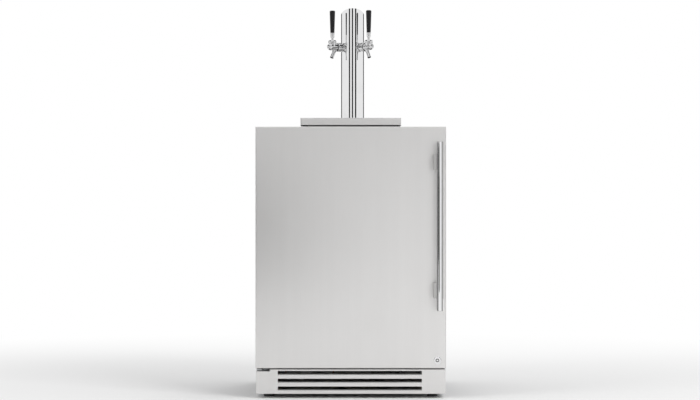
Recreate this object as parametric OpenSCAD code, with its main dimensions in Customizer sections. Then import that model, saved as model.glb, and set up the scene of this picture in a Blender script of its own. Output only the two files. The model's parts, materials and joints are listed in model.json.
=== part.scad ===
// Undercounter beer dispenser: an insulated cabinet for one keg with a full-overlay door and a two-tap tower.
// Millimetres. X runs to the right, Y to the back and Z up, seen from the front.
// The origin is on the floor, midway across the cabinet and midway between the handle and the cabinet's back.

/* [Cabinet] */
// Width of the cabinet
cab_w = 604; // [590:1:640]
// Height of the cabinet's top above the floor
cab_h = 866.8; // [850:0.1:900]
// Depth of the cabinet behind the door seal
cab_d = 563; // [555:1:600]
// Thickness of the side walls with their foam
side_wall = 46; // [42:1:50]
// Thickness of the top wall with its foam
top_wall = 48; // [42:1:60]
// Thickness of the wall under the keg space
floor_wall = 31; // [26:1:36]
// Thickness of the back wall with its foam
back_wall = 50; // [42:1:56]
// Thickness of the outer sheet
skin_t = 1.2; // [0.8:0.1:2]
// Thickness of the inner liner
liner_t = 2; // [1.5:0.1:3]
// Width of the steel flange that the door seal meets
flange_w = 34; // [30:1:36]

/* [Keg space] */
// Depth of the flat floor that the keg stands on
keg_floor_d = 414; // [412:1:420]
// Height of the step over the machine space, above the keg floor
step_h = 207; // [190:1:230]
// Thickness of the foam between the keg space and the machine space
bay_wall = 24; // [18:1:30]
// Thickness of the foam over the machine space
bay_roof = 28; // [20:1:40]
// Thickness of the keg floor plate
keg_plate_t = 3; // [2:0.5:4]

/* [Base] */
// Clear height under the base with the legs screwed in
base_gap = 14.5; // [12:0.5:20]
// Height of the base rails
base_h = 82.5; // [78:0.5:90]
// Width of each base rail
rail_w = 18; // [12:1:24]
// Thickness of the base pan
pan_t = 2; // [1.5:0.5:3]
// Distance of the legs from the cabinet's sides
leg_inset = 38; // [34:1:50]
// Radius of a leg's foot
foot_r = 17; // [14:1:20]
// Height of a leg's foot disc
foot_h = 8; // [6:0.5:10]
// Radius of a leg's stud
stud_r = 5; // [4:0.5:6]
// Length of a leg's stud above the base
stud_l = 42; // [38:1:50]

/* [Door] */
// How far the door stands out past each side of the cabinet
door_over = 1.2; // [0:0.1:3]
// How far the door's top lies below the cabinet's top
door_drop = 0.8; // [0.5:0.1:3]
// Gap between the toe grille and the door
door_reveal = 3.5; // [3:0.5:6]
// Thickness of the door
door_t = 50; // [46:1:60]
// Gap between the door and the cabinet that the seal fills
seal_gap = 9; // [8:0.5:12]
// Width of the door seal
seal_w = 18; // [14:1:20]
// Radius of the door's front edges
door_edge_r = 3; // [2:0.5:5]
// Thickness of the door liner
door_liner_t = 2.5; // [2:0.5:3]
// Depth of the dish in the door liner
dish_depth = 8; // [5:1:12]

/* [Hinge] */
// Distance of the hinge axis from the door's left edge
hinge_inset = 13; // [12:0.5:15]
// Distance of the hinge axis from the door's back
hinge_back = 20; // [18:0.5:24]
// Radius of the hinge pins
pin_r = 4.75; // [4:0.25:5.5]
// Length of the hinge pins
pin_l = 24; // [18:1:30]
// Thickness of the hinge plates
hinge_t = 4; // [3:0.5:4.5]
// Half the width of a hinge plate at its pin
hinge_half = 11; // [10:0.5:11.5]
// Depth of the pocket that hides the top hinge
pocket_d = 7.8; // [7:0.1:10]

/* [Handle] */
// Radius of the handle's tube
tube_r = 10.3; // [8:0.1:13]
// Length of the handle's tube
tube_l = 537; // [450:1:600]
// How far the handle stands out from the door
handle_out = 60; // [50:1:70]
// Distance of the tube's axis from the door's right edge
handle_inset = 21.6; // [18:0.1:30]
// Height of the handle's middle above the floor
handle_z = 549; // [520:1:580]
// Distance between the two stand-off brackets
bracket_pitch = 406; // [350:1:440]
// Width of a stand-off bracket
bracket_w = 30; // [24:1:34]
// Height of a stand-off bracket
bracket_h = 49; // [36:1:60]
// How far a bracket sits to the left of the tube's axis
bracket_shift = 4.6; // [0:0.1:6]

/* [Lock] */
// Distance of the lock from the door's right edge
lock_inset = 27.7; // [24:0.1:34]
// Height of the lock above the door's bottom
lock_up = 25.3; // [22:0.1:27]
// Radius of the lock's bezel
bezel_r = 12; // [10:0.5:14]
// Radius of the lock's barrel
barrel_r = 9; // [8:0.5:9.5]
// Length of the lock's barrel behind the door's face
barrel_l = 22; // [18:1:25]
// Radius of the turning plug
plug_r = 5.5; // [5:0.25:6.5]
// Reach of the cam from the plug's axis
cam_l = 33.5; // [32:0.5:35]
// Width of the cam
cam_w = 12; // [8:1:14]

/* [Toe grille] */
// Height of the toe grille
kick_h = 79; // [76:0.5:82]
// How far the toe grille lies behind the door's face
kick_back = 12; // [8:1:20]
// Thickness of the toe grille's sheet
kick_t = 1.5; // [1:0.1:2]
// Length of a louvre slot
slot_l = 459; // [380:1:500]
// Height of a louvre slot
slot_h = 13; // [10:0.5:15]
// Distance from slot to slot
slot_pitch = 24.8; // [22:0.1:26]
// Height of the lowest slot's middle above the grille's bottom edge
slot_first = 17.4; // [14:0.1:18]
// How far the slots sit to the left of the middle
slot_shift = 3; // [0:0.5:10]
// Number of slots
slot_n = 3; // [2:1:3]
// Depth of a louvre blade
blade_d = 15; // [10:1:20]
// Rise of a louvre blade from its front edge to its back
blade_rise = 7; // [4:0.5:9]
// Width of the notch for the bottom hinge
notch_w = 44; // [42:1:60]

/* [Tower] */
// How far the tower sits to the right of the middle
tower_x = 6; // [-20:1:20]
// Distance of the tower's axis behind the cabinet's front
tower_back = 212; // [205:1:240]
// Radius of the tower
tower_r = 38.1; // [36:0.1:44]
// Height of the tower above the cabinet, at its front
tower_h = 401; // [360:1:460]
// Wall of the tower
tower_t = 1.5; // [1:0.1:2.5]
// Slope of the cut at the tower's top
tower_cut = 28.3; // [10:0.1:35]
// Radius of the tower's foot flange
tower_flange_r = 57; // [54:1:60]
// Thickness of the tower's foot flange
tower_flange_t = 5; // [3:0.5:8]
// Radius of the hole for the beer lines through the cabinet's top
line_hole_r = 25; // [22:1:28]

/* [Taps] */
// Height of the tap shanks above the cabinet
shank_up = 272; // [240:1:290]
// Direction of the left tap, in degrees to the left of straight ahead
tap_left_deg = 51.4; // [46:0.1:60]
// Direction of the right tap, in degrees to the right of straight ahead
tap_right_deg = 38.6; // [32:0.1:60]
// Distance of the levers from the tower's axis
tap_reach = 85; // [82:1:95]
// Radius of the shanks
shank_r = 10.5; // [10:0.1:11.5]
// Radius of the bore through a shank
shank_bore_r = 7.5; // [7.2:0.1:8]
// Radius of the coupling nuts
nut_r = 14.5; // [13.5:0.5:16]
// Radius of the valve shaft in its guide
shaft_r = 4.5; // [4.2:0.1:5]
// Height of the lever's ball above the shank's axis
ball_up = 14; // [13:0.5:15]
// Radius of the lever's ball
ball_r = 7; // [6.5:0.1:7.5]
// Distance from the ball's middle to the tongue that moves the valve shaft
tongue_arm = 11.5; // [11:0.1:12]
// Radius of the lever's rod
rod_r = 3.9; // [3.5:0.1:4.2]
// Radius of the bonnet
bonnet_r = 13.5; // [12.5:0.1:15]
// Radius of the spout's end
spout_r = 5.5; // [5:0.1:6.5]
// Fall of the spout's end below the shank's axis
spout_drop = 36; // [30:1:44]
// Length of the grip
grip_l = 73; // [60:1:110]
// Radius of the grip at its top
grip_top_r = 9; // [8:0.1:12]
// Radius of the grip at its bottom
grip_low_r = 6.8; // [6:0.1:8]

/* [Drip tray] */
// Width of the drip tray
tray_w = 324; // [280:1:400]
// Depth of the drip tray
tray_d = 142; // [120:1:146]
// Height of the drip tray
tray_h = 22.5; // [18:0.5:30]
// Height of the tray's feet
tray_foot_h = 7.5; // [5:0.5:10]
// Wall of the drip tray
tray_t = 1.2; // [0.8:0.1:2]
// Gap between the tray and the tower's foot flange
tray_gap = 3; // [2:0.5:8]

/* [Cold unit] */
// Radius of the compressor's shell
comp_r = 56; // [50:1:57]
// Height of the compressor's shell
comp_h = 168; // [140:1:190]
// Number of tubes, one above the other, in the condenser coil
cond_cols = 8; // [6:2:8]
// Length of the condenser coil's tubes
cond_l = 78; // [78:1:80]
// Radius of the condenser fan's ring
cond_fan_r = 36; // [32:1:37]
// Number of tubes, one above the other, in the evaporator coil
evap_cols = 8; // [6:2:8]
// Radius of the evaporator fan
evap_fan_r = 46; // [38:1:50]
// Width of the evaporator cover
evap_w = 370; // [340:1:380]

/* [Gas and beer] */
// Radius of the gas cylinder
gas_r = 55.5; // [50:0.5:56]
// Height of the gas cylinder's body
gas_h = 330; // [300:1:380]
// Radius of the beer lines
beer_line_r = 5; // [4:0.25:5.5]
// Radius of the gas line
gas_line_r = 5.5; // [5:0.25:6.5]

/* [Hidden] */
$fn = 48;
gap = 0.3;
run_fit = 0.05;
eps = 0.01;

total_d = handle_out + door_t + seal_gap + cab_d;
y_door = -total_d / 2 + handle_out;
y_seal = y_door + door_t;
y_front = y_seal + seal_gap;
y_back = total_d / 2;
screw_head = 1.8;
y_panel_out = y_back - screw_head - 0.2;
y_panel = y_panel_out - skin_t;
y_kick = y_door + kick_back;

base_top = base_gap + base_h;
kick_top = base_gap + kick_h;
door_z = kick_top + door_reveal;
door_top = cab_h - door_drop;
door_w = cab_w + 2 * door_over;
door_h = door_top - door_z;

inner_w = cab_w - 2 * side_wall;
floor_z = base_top + floor_wall;
ceil_z = cab_h - top_wall;
step_y = y_front + keg_floor_d;
step_z = floor_z + step_h;
back_y = y_back - back_wall;
bay_y = step_y + liner_t + bay_wall;
bay_top = step_z - liner_t - bay_roof;
keg_z = floor_z + keg_plate_t;

seal_in = inner_w / 2 + (side_wall - flange_w) + 2;
seal_top = ceil_z + (top_wall - flange_w) + 2;
seal_low = floor_z - 4;

hinge_x = -door_w / 2 + hinge_inset;
hinge_y = y_seal - hinge_back;
pocket_z = door_top - pocket_d;
bush_flange_t = 2;
bush_flange_r = 9;
bush_r = pin_r + 2.75;
bush_l = pin_l + 1;
low_hinge_top = kick_top - 0.5;

tube_x = door_w / 2 - handle_inset;
tube_y = -total_d / 2 + tube_r;
bracket_x = tube_x - bracket_shift;

lock_x = door_w / 2 - lock_inset;
lock_z = door_z + lock_up;
cam_y = y_door + barrel_l + 1;
cam_t = 3;

tower_y = y_front + tower_back;
tap_z = cab_h + shank_up;
shank_end = 58;
elbow_x = 22;
seat_t = 2.8;
chamber_r = 6.5;
chamber_end = 78;
nose_x = tap_reach + 12;
bonnet_low = ball_up - 1;
bonnet_top = ball_up + 7;
ferrule_low = ball_up + 16;
grip_low = ball_up + 32;
tap_turns = [-tap_left_deg, tap_right_deg];

tray_low = cab_h + tray_foot_h;
tray_top = tray_low + tray_h;
tray_y = tower_y - tower_flange_r - tray_gap - tray_d / 2;

leg_x = cab_w / 2 - leg_inset;
leg_ys = [y_front + leg_inset, y_back - leg_inset];

comp_x = cab_w / 2 - 182;
bay_mid_y = (bay_y + y_panel) / 2;
comp_foot_h = 12;
comp_z = base_gap + pan_t + comp_foot_h;
coil_pitch = 22;
cond_h = cond_cols * coil_pitch;
cond_x = -cab_w / 2 + 112;
cond_z = base_gap + pan_t + 16;
cond_fan_x = cond_x + 50;
cond_fan_z = cond_z + cond_h / 2;

evap_x = -inner_w / 2 + 14 + evap_w / 2;
evap_y = step_y + 5;
evap_top = ceil_z - 8;
evap_low = step_z + 6;
evap_fan_z = evap_top - 82;
evap_coil_y = (evap_y + back_y) / 2 + 1;
evap_end_x = evap_x + (evap_w - 70) / 2 + 4;
pass_x = evap_end_x + 20.5;

housing_w = 120;
housing_d = 80;
housing_h = 30;
housing_y = y_front + 26;
dial_r = 11;

gas_x = inner_w / 2 - gas_r - 2;
gas_y = step_y - gas_r - 2;
neck_h = 21;
valve_z = keg_z + gas_h + neck_h + 11 + 2 * gap;
valve_reach = 30;
reg_y = gas_y - valve_reach - 10;
gauge_tilt = 40;
outlet_y = 16;
coupler_x = inner_w / 2 - 46;
coupler_y = y_front + 92;
coupler_r = 29;
coupler_h = 104;

steel = [0.80, 0.80, 0.79];
bright = [0.88, 0.89, 0.90];
sheet = [0.62, 0.63, 0.64];
white = [0.93, 0.93, 0.91];
dark = [0.10, 0.10, 0.11];
copper = [0.78, 0.47, 0.32];
brass = [0.80, 0.66, 0.36];
foam_tone = [0.90, 0.85, 0.66];

// Outlines and solids that several pieces use

// Rectangle with round corners, about its middle
module round_rect(w, h, r) {
    square([w - 2 * r, h], center = true);
    square([w, h - 2 * r], center = true);
    for (sx = [-1, 1], sy = [-1, 1])
        translate([sx * (w / 2 - r), sy * (h / 2 - r)]) circle(r);
}

// Slot with round ends, about its middle and along its first axis
module slot(l, w) {
    square([l - w, w], center = true);
    for (s = [-1, 1])
        translate([s * (l - w) / 2, 0]) circle(w / 2);
}

// Box about x = 0 from y = 0 and z = 0, with its front edges rounded
module soft_front_outline(w, d, r) {
    translate([-w / 2, r]) square([w, d - r]);
    translate([-w / 2 + r, 0]) square([w - 2 * r, d]);
    for (s = [-1, 1])
        translate([s * (w / 2 - r), r]) circle(r);
}

module soft_front_box(w, h, d, r) {
    intersection() {
        linear_extrude(h) soft_front_outline(w, d, r);
        translate([0, 0, h / 2]) rotate([0, 90, 0]) linear_extrude(w + 2, center = true)
            soft_front_outline(h, d, r);
    }
}

// Outline in X and Z, extruded from y over t
module upright(y, t) {
    translate([0, y + t, 0]) rotate([90, 0, 0]) linear_extrude(t) children();
}

// Outline in Y and Z, extruded over a width w about x = 0
module across(w) {
    rotate([90, 0, 90]) linear_extrude(w, center = true) children();
}

// Box between two corners
module box(low, high) {
    translate(low) cube(high - low);
}

// Tube along a route: rings square to the route, joined by triangles
function unit(v) = v / norm(v);
function directions(p) = [for (i = [0 : len(p) - 1])
    i == 0 ? unit(p[1] - p[0])
    : i == len(p) - 1 ? unit(p[i] - p[i - 1])
    : unit(unit(p[i + 1] - p[i]) + unit(p[i] - p[i - 1]))];
function carried(d, i, s) = i == len(d) ? []
    : let (t = unit(s - (s * d[i]) * d[i])) concat([t], carried(d, i + 1, t));
module hose(p, r, n = 8) {
    d = directions(p);
    s = carried(d, 0, unit(cross(d[0], abs(d[0].z) > 0.9 ? [1, 0, 0] : [0, 0, 1])));
    last = (len(p) - 1) * n;
    polyhedron(
        points = [for (i = [0 : len(p) - 1], k = [0 : n - 1])
            p[i] + r * (cos(360 * k / n) * s[i] + sin(360 * k / n) * cross(d[i], s[i]))],
        faces = concat(
            [for (k = [1 : n - 2]) [0, k, k + 1]],
            [for (k = [1 : n - 2]) [last, last + k + 1, last + k]],
            [for (i = [0 : len(p) - 2], k = [0 : n - 1])
                [i * n + k, (i + 1) * n + k, (i + 1) * n + (k + 1) % n]],
            [for (i = [0 : len(p) - 2], k = [0 : n - 1])
                [i * n + k, (i + 1) * n + (k + 1) % n, i * n + (k + 1) % n]]));
}

// Route with its corners turned on arcs of radius r, in m steps each
function turned(a, b, c, r, m) = let (
    u = unit(a - b), v = unit(c - b), half = acos(u * v) / 2, reach = r / tan(half),
    mid = b + unit(u + v) * r / sin(half), e = unit(b + u * reach - mid),
    w = b + v * reach - mid, f = unit(w - (w * e) * e))
    [for (k = [0 : m]) let (q = (180 - 2 * half) * k / m) mid + r * (cos(q) * e + sin(q) * f)];
function bent(p, r, m = 4) = concat([p[0]],
    [for (i = [1 : len(p) - 2]) each turned(p[i - 1], p[i], p[i + 1], r, m)], [p[len(p) - 1]]);

// Cabinet

module outer_wrapper() {
    color(sheet) difference() {
        box([-cab_w / 2, y_front, base_gap], [cab_w / 2, y_back, cab_h]);
        box([-cab_w / 2 + skin_t, y_front + skin_t, base_gap - 1],
            [cab_w / 2 - skin_t, y_back + 1, cab_h - skin_t]);
        box([-cab_w / 2 + flange_w, y_front - 1, base_gap - 1],
            [cab_w / 2 - flange_w, y_front + skin_t + 1, cab_h - flange_w]);
        line_hole();
    }
}

// Hole for the beer lines through the cabinet's top
module line_hole() {
    translate([tower_x, tower_y, ceil_z - 10]) cylinder(r = line_hole_r, h = top_wall + 20);
}

// Holes for the two refrigerant lines through the roof of the machine space and the evaporator cover
module line_passes() {
    for (s = [-1, 1])
        translate([pass_x, evap_coil_y + s * coil_pitch / 2, bay_top - 5])
            cylinder(r = 4.2, h = step_z - bay_top + 20);
}

// Outline of the keg space in Y and Z, grown by o on every wall but the front
module keg_space(o, front) {
    polygon([
        [front, floor_z - o], [step_y + o, floor_z - o], [step_y + o, step_z - o],
        [back_y + o, step_z - o], [back_y + o, ceil_z + o], [front, ceil_z + o]
    ]);
}

module foam_insulation() {
    color(foam_tone) difference() {
        box([-cab_w / 2 + skin_t, y_front + skin_t, base_top], [cab_w / 2 - skin_t, y_panel, cab_h - skin_t]);
        across(inner_w + 2 * liner_t) keg_space(liner_t, y_front);
        box([-cab_w / 2 + skin_t + rail_w, bay_y, base_top - 1],
            [cab_w / 2 - skin_t - rail_w, y_back, bay_top]);
        line_hole();
        line_passes();
    }
}

module inner_liner() {
    flange_reach = side_wall - flange_w - gap;
    color(white) difference() {
        union() {
            across(inner_w + 2 * liner_t) keg_space(liner_t, y_front);
            box([-inner_w / 2 - flange_reach, y_front, floor_z - flange_reach],
                [inner_w / 2 + flange_reach, y_front + skin_t, ceil_z + top_wall - flange_w - gap]);
        }
        across(inner_w) keg_space(0, y_front - 1);
        line_hole();
        line_passes();
    }
}

module rear_panel() {
    vent_n = 7;
    vent_l = 150;
    color(sheet) difference() {
        box([-cab_w / 2 + skin_t, y_panel, base_gap], [cab_w / 2 - skin_t, y_panel_out, cab_h - skin_t]);
        for (i = [0 : vent_n - 1], s = [-1, 1])
            translate([s * 120, 0, base_top + 30 + i * 22]) upright(y_panel - 1, skin_t + 2) slot(vent_l, 8);
        upright(y_panel - 1, skin_t + 2) translate([0, base_gap + pan_t + 32])
            square([28.2, 20.6], center = true);
    }
}

module leg_places() {
    for (sx = [-1, 1], y = leg_ys)
        translate([sx * leg_x, y, 0]) children();
}

module base_frame() {
    boss_r = stud_r + 5;
    boss_h = stud_l + 6;
    w = cab_w / 2 - skin_t;
    color(sheet) difference() {
        union() {
            box([-w, y_front + skin_t, base_gap], [w, y_panel, base_gap + pan_t]);
            for (s = [0, 1])
                mirror([s, 0, 0])
                    box([w - rail_w, y_front + skin_t, base_gap], [w, y_panel, base_top]);
            box([-cab_w / 2 + flange_w + gap, y_front, kick_top],
                [cab_w / 2 - flange_w - gap, y_front + skin_t,
                floor_z - side_wall + flange_w]);
            box([-w, y_front + skin_t, base_top - pan_t], [w, y_front + 30, base_top]);
            leg_places() translate([0, 0, base_gap]) cylinder(r = boss_r, h = boss_h);
            for (x = [-1, 1], y = [-1, 1])
                translate([comp_x + x * 62, bay_mid_y + y * 36, base_gap])
                    cylinder(r = 8, h = comp_foot_h - 3 + pan_t);
            for (x = [-1, 1])
                box([cond_x + x * 22 - 6, bay_mid_y - 45, base_gap],
                    [cond_x + x * 22 + 6, bay_mid_y + 45, cond_z]);
        }
        leg_places() translate([0, 0, base_gap - 1]) cylinder(r = stud_r + 0.08, h = boss_h + 2);
        for (s = [0, 1])
            mirror([s, 0, 0]) box([w - rail_w - 1, y_front + skin_t + 3, base_gap + pan_t],
                [w - pan_t, y_panel - 3, base_top - pan_t]);
    }
}

module keg_floor() {
    color(steel) difference() {
        translate([0, (y_front + step_y) / 2, floor_z])
            linear_extrude(keg_plate_t) round_rect(inner_w - 4, keg_floor_d - 6, 12);
        for (i = [-6 : 6])
            translate([i * 36, y_front + keg_floor_d / 2, floor_z + keg_plate_t - 1])
                rotate([0, 0, 90]) linear_extrude(2) slot(keg_floor_d - 60, 6);
    }
}

// Louvred toe grille: a folded pan with slots, each with a sloping blade from its lower lip
module toe_grille() {
    w = cab_w;
    color(steel) difference() {
        union() {
            difference() {
                translate([0, y_kick, base_gap]) soft_front_box(w, kick_h, y_front - y_kick, 2.5);
                box([-w / 2 + kick_t, y_kick + kick_t, base_gap + kick_t],
                    [w / 2 - kick_t, y_front + 1, kick_top - kick_t]);
                for (i = [0 : slot_n - 1])
                    translate([-slot_shift, 0, base_gap + slot_first + i * slot_pitch])
                        upright(y_kick - 1, kick_t + 2) round_rect(slot_l, slot_h, 2);
            }
            for (i = [0 : slot_n - 1])
                translate([-slot_shift, y_kick, base_gap + slot_first + i * slot_pitch - slot_h / 2])
                    louvre_blade();
        }
        box([-w / 2 - 1, y_kick - 1, low_hinge_top - hinge_t - 2.5],
            [-w / 2 + notch_w, y_front + 1, kick_top + 1]);
        box([lock_x - cam_l * 0.6 - 3, cam_y - 1.5, kick_top - kick_t - 1],
            [lock_x + cam_w / 2 + 3, cam_y + cam_t + 1.5, kick_top + 1]);
    }
}

module louvre_blade() {
    across(slot_l) polygon([
        [0.2, -1.6], [1.2, -1.6], [blade_d, blade_rise - 1.6], [blade_d + 3, blade_rise - 1.6],
        [blade_d + 3, blade_rise - 0.4], [blade_d - 0.4, blade_rise - 0.4], [0.2, 0.2]
    ]);
    translate([0, 0.9, 0]) rotate([0, 90, 0]) cylinder(r = 1, h = slot_l, center = true);
}

// Levelling leg: foot, hexagon and stud in one turned piece
module levelling_leg() {
    color(dark) {
        cylinder(r1 = foot_r - 1.5, r2 = foot_r, h = 1.5);
        translate([0, 0, 1.5]) cylinder(r = foot_r, h = foot_h - 3.5);
        translate([0, 0, foot_h - 2]) cylinder(r1 = foot_r, r2 = foot_r - 4, h = 2);
        cylinder(r = 10.5, h = base_gap - gap, $fn = 6);
        translate([0, 0, foot_h - 2]) cylinder(r = stud_r, h = base_gap - foot_h + 2 + stud_l);
    }
}
module leg_front_left() translate([-leg_x, leg_ys[0], 0]) levelling_leg();
module leg_front_right() translate([leg_x, leg_ys[0], 0]) levelling_leg();
module leg_rear_left() translate([-leg_x, leg_ys[1], 0]) levelling_leg();
module leg_rear_right() translate([leg_x, leg_ys[1], 0]) levelling_leg();

// Hinge bracket: a leaf on the cabinet's front, a plate out to the axis and the pin
module hinge_strip(z) {
    box([hinge_x - hinge_half, hinge_y, z], [hinge_x + hinge_half, y_front, z + hinge_t]);
    translate([hinge_x, hinge_y, z]) cylinder(r = hinge_half, h = hinge_t);
}

module hinge_plates() {
    top_z = pocket_z + bush_flange_t + gap;
    low_z = low_hinge_top - hinge_t;
    leaf_t = 3;
    color(dark) {
        difference() {
            union() {
                hinge_strip(top_z);
                box([hinge_x - hinge_half, y_front - leaf_t, seal_top + seal_w + 1.5],
                    [hinge_x + hinge_half + 38, y_front, top_z + hinge_t]);
                translate([hinge_x, hinge_y, top_z - pin_l + hinge_t]) cylinder(r = pin_r, h = pin_l);
            }
            for (x = hinge_screw_xs())
                translate([x, y_front - leaf_t, seal_top + seal_w + 8.5]) screw_hole(leaf_t);
        }
        difference() {
            union() {
                hinge_strip(low_z);
                box([-cab_w / 2 + kick_t + gap, y_front - leaf_t, low_z - 22],
                    [hinge_x + hinge_half + 13, y_front, low_z + hinge_t]);
                translate([hinge_x, hinge_y, low_z]) cylinder(r = pin_r, h = pin_l + hinge_t);
            }
            for (z = low_screw_zs())
                translate([hinge_x + 1, y_front - leaf_t, z]) screw_hole(leaf_t);
        }
    }
}
function hinge_screw_xs() = [hinge_x + 18, hinge_x + 30, hinge_x + 42];
function low_screw_zs() = [low_hinge_top - hinge_t - 7, low_hinge_top - hinge_t - 16];

// Countersunk hole in a plate of thickness t, from its front face
module screw_hole(t) {
    rotate([-90, 0, 0]) {
        translate([0, 0, -1]) cylinder(r = 2.2, h = t + 2);
        cylinder(r1 = 4.2, r2 = 2.2, h = 2);
    }
}
module sunk_screw(l) {
    difference() {
        rotate([-90, 0, 0]) {
            cylinder(r1 = 4.1, r2 = 2.1, h = 2);
            translate([0, 0, 2]) cylinder(r = 2.1, h = l - 2);
        }
        for (a = [0, 90])
            rotate([0, a, 0]) box([-2, -1, -0.4], [2, 0.7, 0.4]);
    }
}
module pan_screw(l) {
    difference() {
        union() {
            translate([0, 0, -l]) cylinder(r = 2.4, h = l);
            cylinder(r1 = 5, r2 = 3.6, h = 2.6);
        }
        for (a = [0, 90])
            rotate([0, 0, a]) box([-2.2, -0.45, 1.4], [2.2, 0.45, 3]);
    }
}

module cabinet_screws() {
    color(sheet) {
        for (x = hinge_screw_xs())
            translate([x, y_front - 3, seal_top + seal_w + 8.5]) sunk_screw(3);
        for (z = low_screw_zs())
            translate([hinge_x + 1, y_front - 3, z]) sunk_screw(3);
        for (a = [45 : 90 : 315])
            translate([tower_x + (tower_flange_r - 9) * cos(a), tower_y + (tower_flange_r - 9) * sin(a),
                cab_h + tower_flange_t]) pan_screw(tower_flange_t);
        for (sx = [-1, 1], z = [base_gap + 40, bay_top + 40, cab_h - 40])
            translate([sx * (cab_w / 2 - 14), y_panel_out, z]) rotate([-90, 0, 0]) panel_screw();
    }
}
module panel_screw() {
    difference() {
        cylinder(r1 = 4.5, r2 = 3.4, h = screw_head);
        for (a = [0, 90])
            rotate([0, 0, a]) box([-2.2, -0.45, 0.8], [2.2, 0.45, 3]);
    }
}

// Cold unit

// Coil of two rows of tubes with fins across them. The tubes run along x and the rows lie side by side in y.
// A bend joins the rows at the tube numbered join, and both free ends are on the other side of the same end.
module fin_coil(l, cols, fin_pitch, tube_r, join) {
    rows = 2;
    pitch = coil_pitch;
    w = rows * pitch;
    h = cols * pitch;
    n = floor(l / fin_pitch);
    for (i = [0 : n])
        translate([-l / 2 + i * l / n, 0, h / 2]) cube([i == 0 || i == n ? 1.6 : 0.8, w, h], center = true);
    for (j = [0 : rows - 1], k = [0 : cols - 1])
        translate([0, (j - (rows - 1) / 2) * pitch, (k + 0.5) * pitch])
            rotate([0, 90, 0]) cylinder(r = tube_r, h = l + 8, center = true);
    for (j = [0 : rows - 1], k = [0 : 2 : cols - 2])
        translate([l / 2 + 4, (j - (rows - 1) / 2) * pitch, (k + 1) * pitch]) return_bend(pitch / 2, tube_r);
    for (j = [0 : rows - 1], k = [1 : 2 : cols - 2])
        translate([-l / 2 - 4, (j - (rows - 1) / 2) * pitch, (k + 1) * pitch])
            mirror([1, 0, 0]) return_bend(pitch / 2, tube_r);
    translate([-l / 2 - 4, 0, (join + 0.5) * pitch]) rotate([90, 0, 0])
        mirror([1, 0, 0]) return_bend(pitch / 2, tube_r);
}
// Half ring that joins two tubes, one above the other
module return_bend(r, tube_r) {
    rotate([90, 0, 0]) rotate([0, 0, -90]) rotate_extrude(angle = 180) translate([r, 0]) circle(tube_r);
}

// Fan about z: a hub and pitched blades
module fan(r, hub_r, depth, n) {
    difference() {
        cylinder(r = hub_r, h = depth, center = true);
        translate([0, 0, -depth / 2 - 1]) cylinder(r = 2.6, h = depth + 2);
    }
    intersection() {
        difference() {
            cylinder(r = r, h = depth, center = true);
            cylinder(r = hub_r - 0.5, h = depth + 2, center = true);
        }
        for (i = [0 : n - 1])
            rotate([0, 0, i * 360 / n]) translate([r / 2, 0, 0]) rotate([32, 0, 0])
                cube([r, r * 0.62, 1.6], center = true);
    }
}

module evaporator_coil() {
    color(copper) translate([evap_x, evap_coil_y, evap_low + 40]) mirror([1, 0, 0])
        fin_coil(evap_w - 70, evap_cols, 12, 4.5, evap_cols - 1);
    color(copper) for (s = [-1, 1])
        box([evap_x + s * (evap_w / 2 - 35) - 0.8, evap_coil_y - 16, evap_low + 60],
            [evap_x + s * (evap_w / 2 - 35) + 0.8, back_y, evap_low + 190]);
}

module evaporator_cover() {
    t = 2;
    color(white) difference() {
        translate([evap_x, evap_y, evap_low]) soft_front_box(evap_w, evap_top - evap_low, back_y - evap_y, 6);
        translate([evap_x, evap_y + t, evap_low + t])
            soft_front_box(evap_w - 2 * t, evap_top - evap_low - 2 * t, back_y - evap_y, 4);
        translate([evap_x, 0, evap_fan_z]) upright(evap_y - 1, t + 2) fan_guard(evap_fan_r + 2);
        for (i = [0 : 5])
            translate([evap_x, 0, evap_low + 24 + i * 12]) upright(evap_y - 1, t + 2) slot(evap_w - 90, 5);
        line_passes();
    }
}
// Openings of a fan guard: three ring sets cut by spokes
module fan_guard(r) {
    difference() {
        circle(r);
        for (q = [0.22, 0.48, 0.74])
            difference() {
                circle(q * r + 2);
                circle(q * r);
            }
        for (a = [0 : 60 : 120])
            rotate(a) square([2 * r + 2, 3], center = true);
        circle(0.22 * r);
    }
}

module evaporator_motor() {
    color(dark) {
        translate([evap_x, evap_y + 32, evap_fan_z]) rotate([-90, 0, 0]) {
            cylinder(r = 19, h = 30);
            translate([0, 0, -20]) cylinder(r = 2.5, h = 21);
        }
        for (s = [-1, 1])
            box([evap_x + s * 30 - 15, evap_y + 56, evap_fan_z - 7],
                [evap_x + s * 30 + 15, evap_y + 60, evap_fan_z + 7]);
        for (s = [-1, 1])
            box([evap_x + s * 43 - 2, evap_y + 56, evap_fan_z - 7],
                [evap_x + s * 43 + 2, back_y, evap_fan_z + 7]);
    }
}

module evaporator_fan() {
    color(dark) translate([evap_x, evap_y + 19, evap_fan_z]) rotate([-90, 0, 0]) fan(evap_fan_r, 12, 20, 5);
}

module compressor() {
    rim = comp_h * 0.52;
    color(dark) translate([comp_x, bay_mid_y, comp_z]) {
        rotate_extrude() shell_half();
        translate([0, 0, rim]) cylinder(r = comp_r + 2.5, h = 5);
        difference() {
            translate([0, 0, -3]) linear_extrude(3) round_rect(146, 92, 10);
            for (x = [-1, 1], y = [-1, 1])
                translate([x * 62, y * 36, -4]) cylinder(r = 4, h = 6);
        }
        translate([comp_r - 8, -18, 40]) cube([28, 36, 48]);
    }
}
// Half outline of the compressor's shell
module shell_half() {
    dome = 26;
    intersection() {
        union() {
            translate([0, dome]) square([comp_r, comp_h - 2 * dome]);
            for (z = [dome, comp_h - dome])
                translate([comp_r - dome, z]) circle(dome);
            square([comp_r - dome, comp_h]);
        }
        square([comp_r + 1, comp_h]);
    }
}

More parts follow.
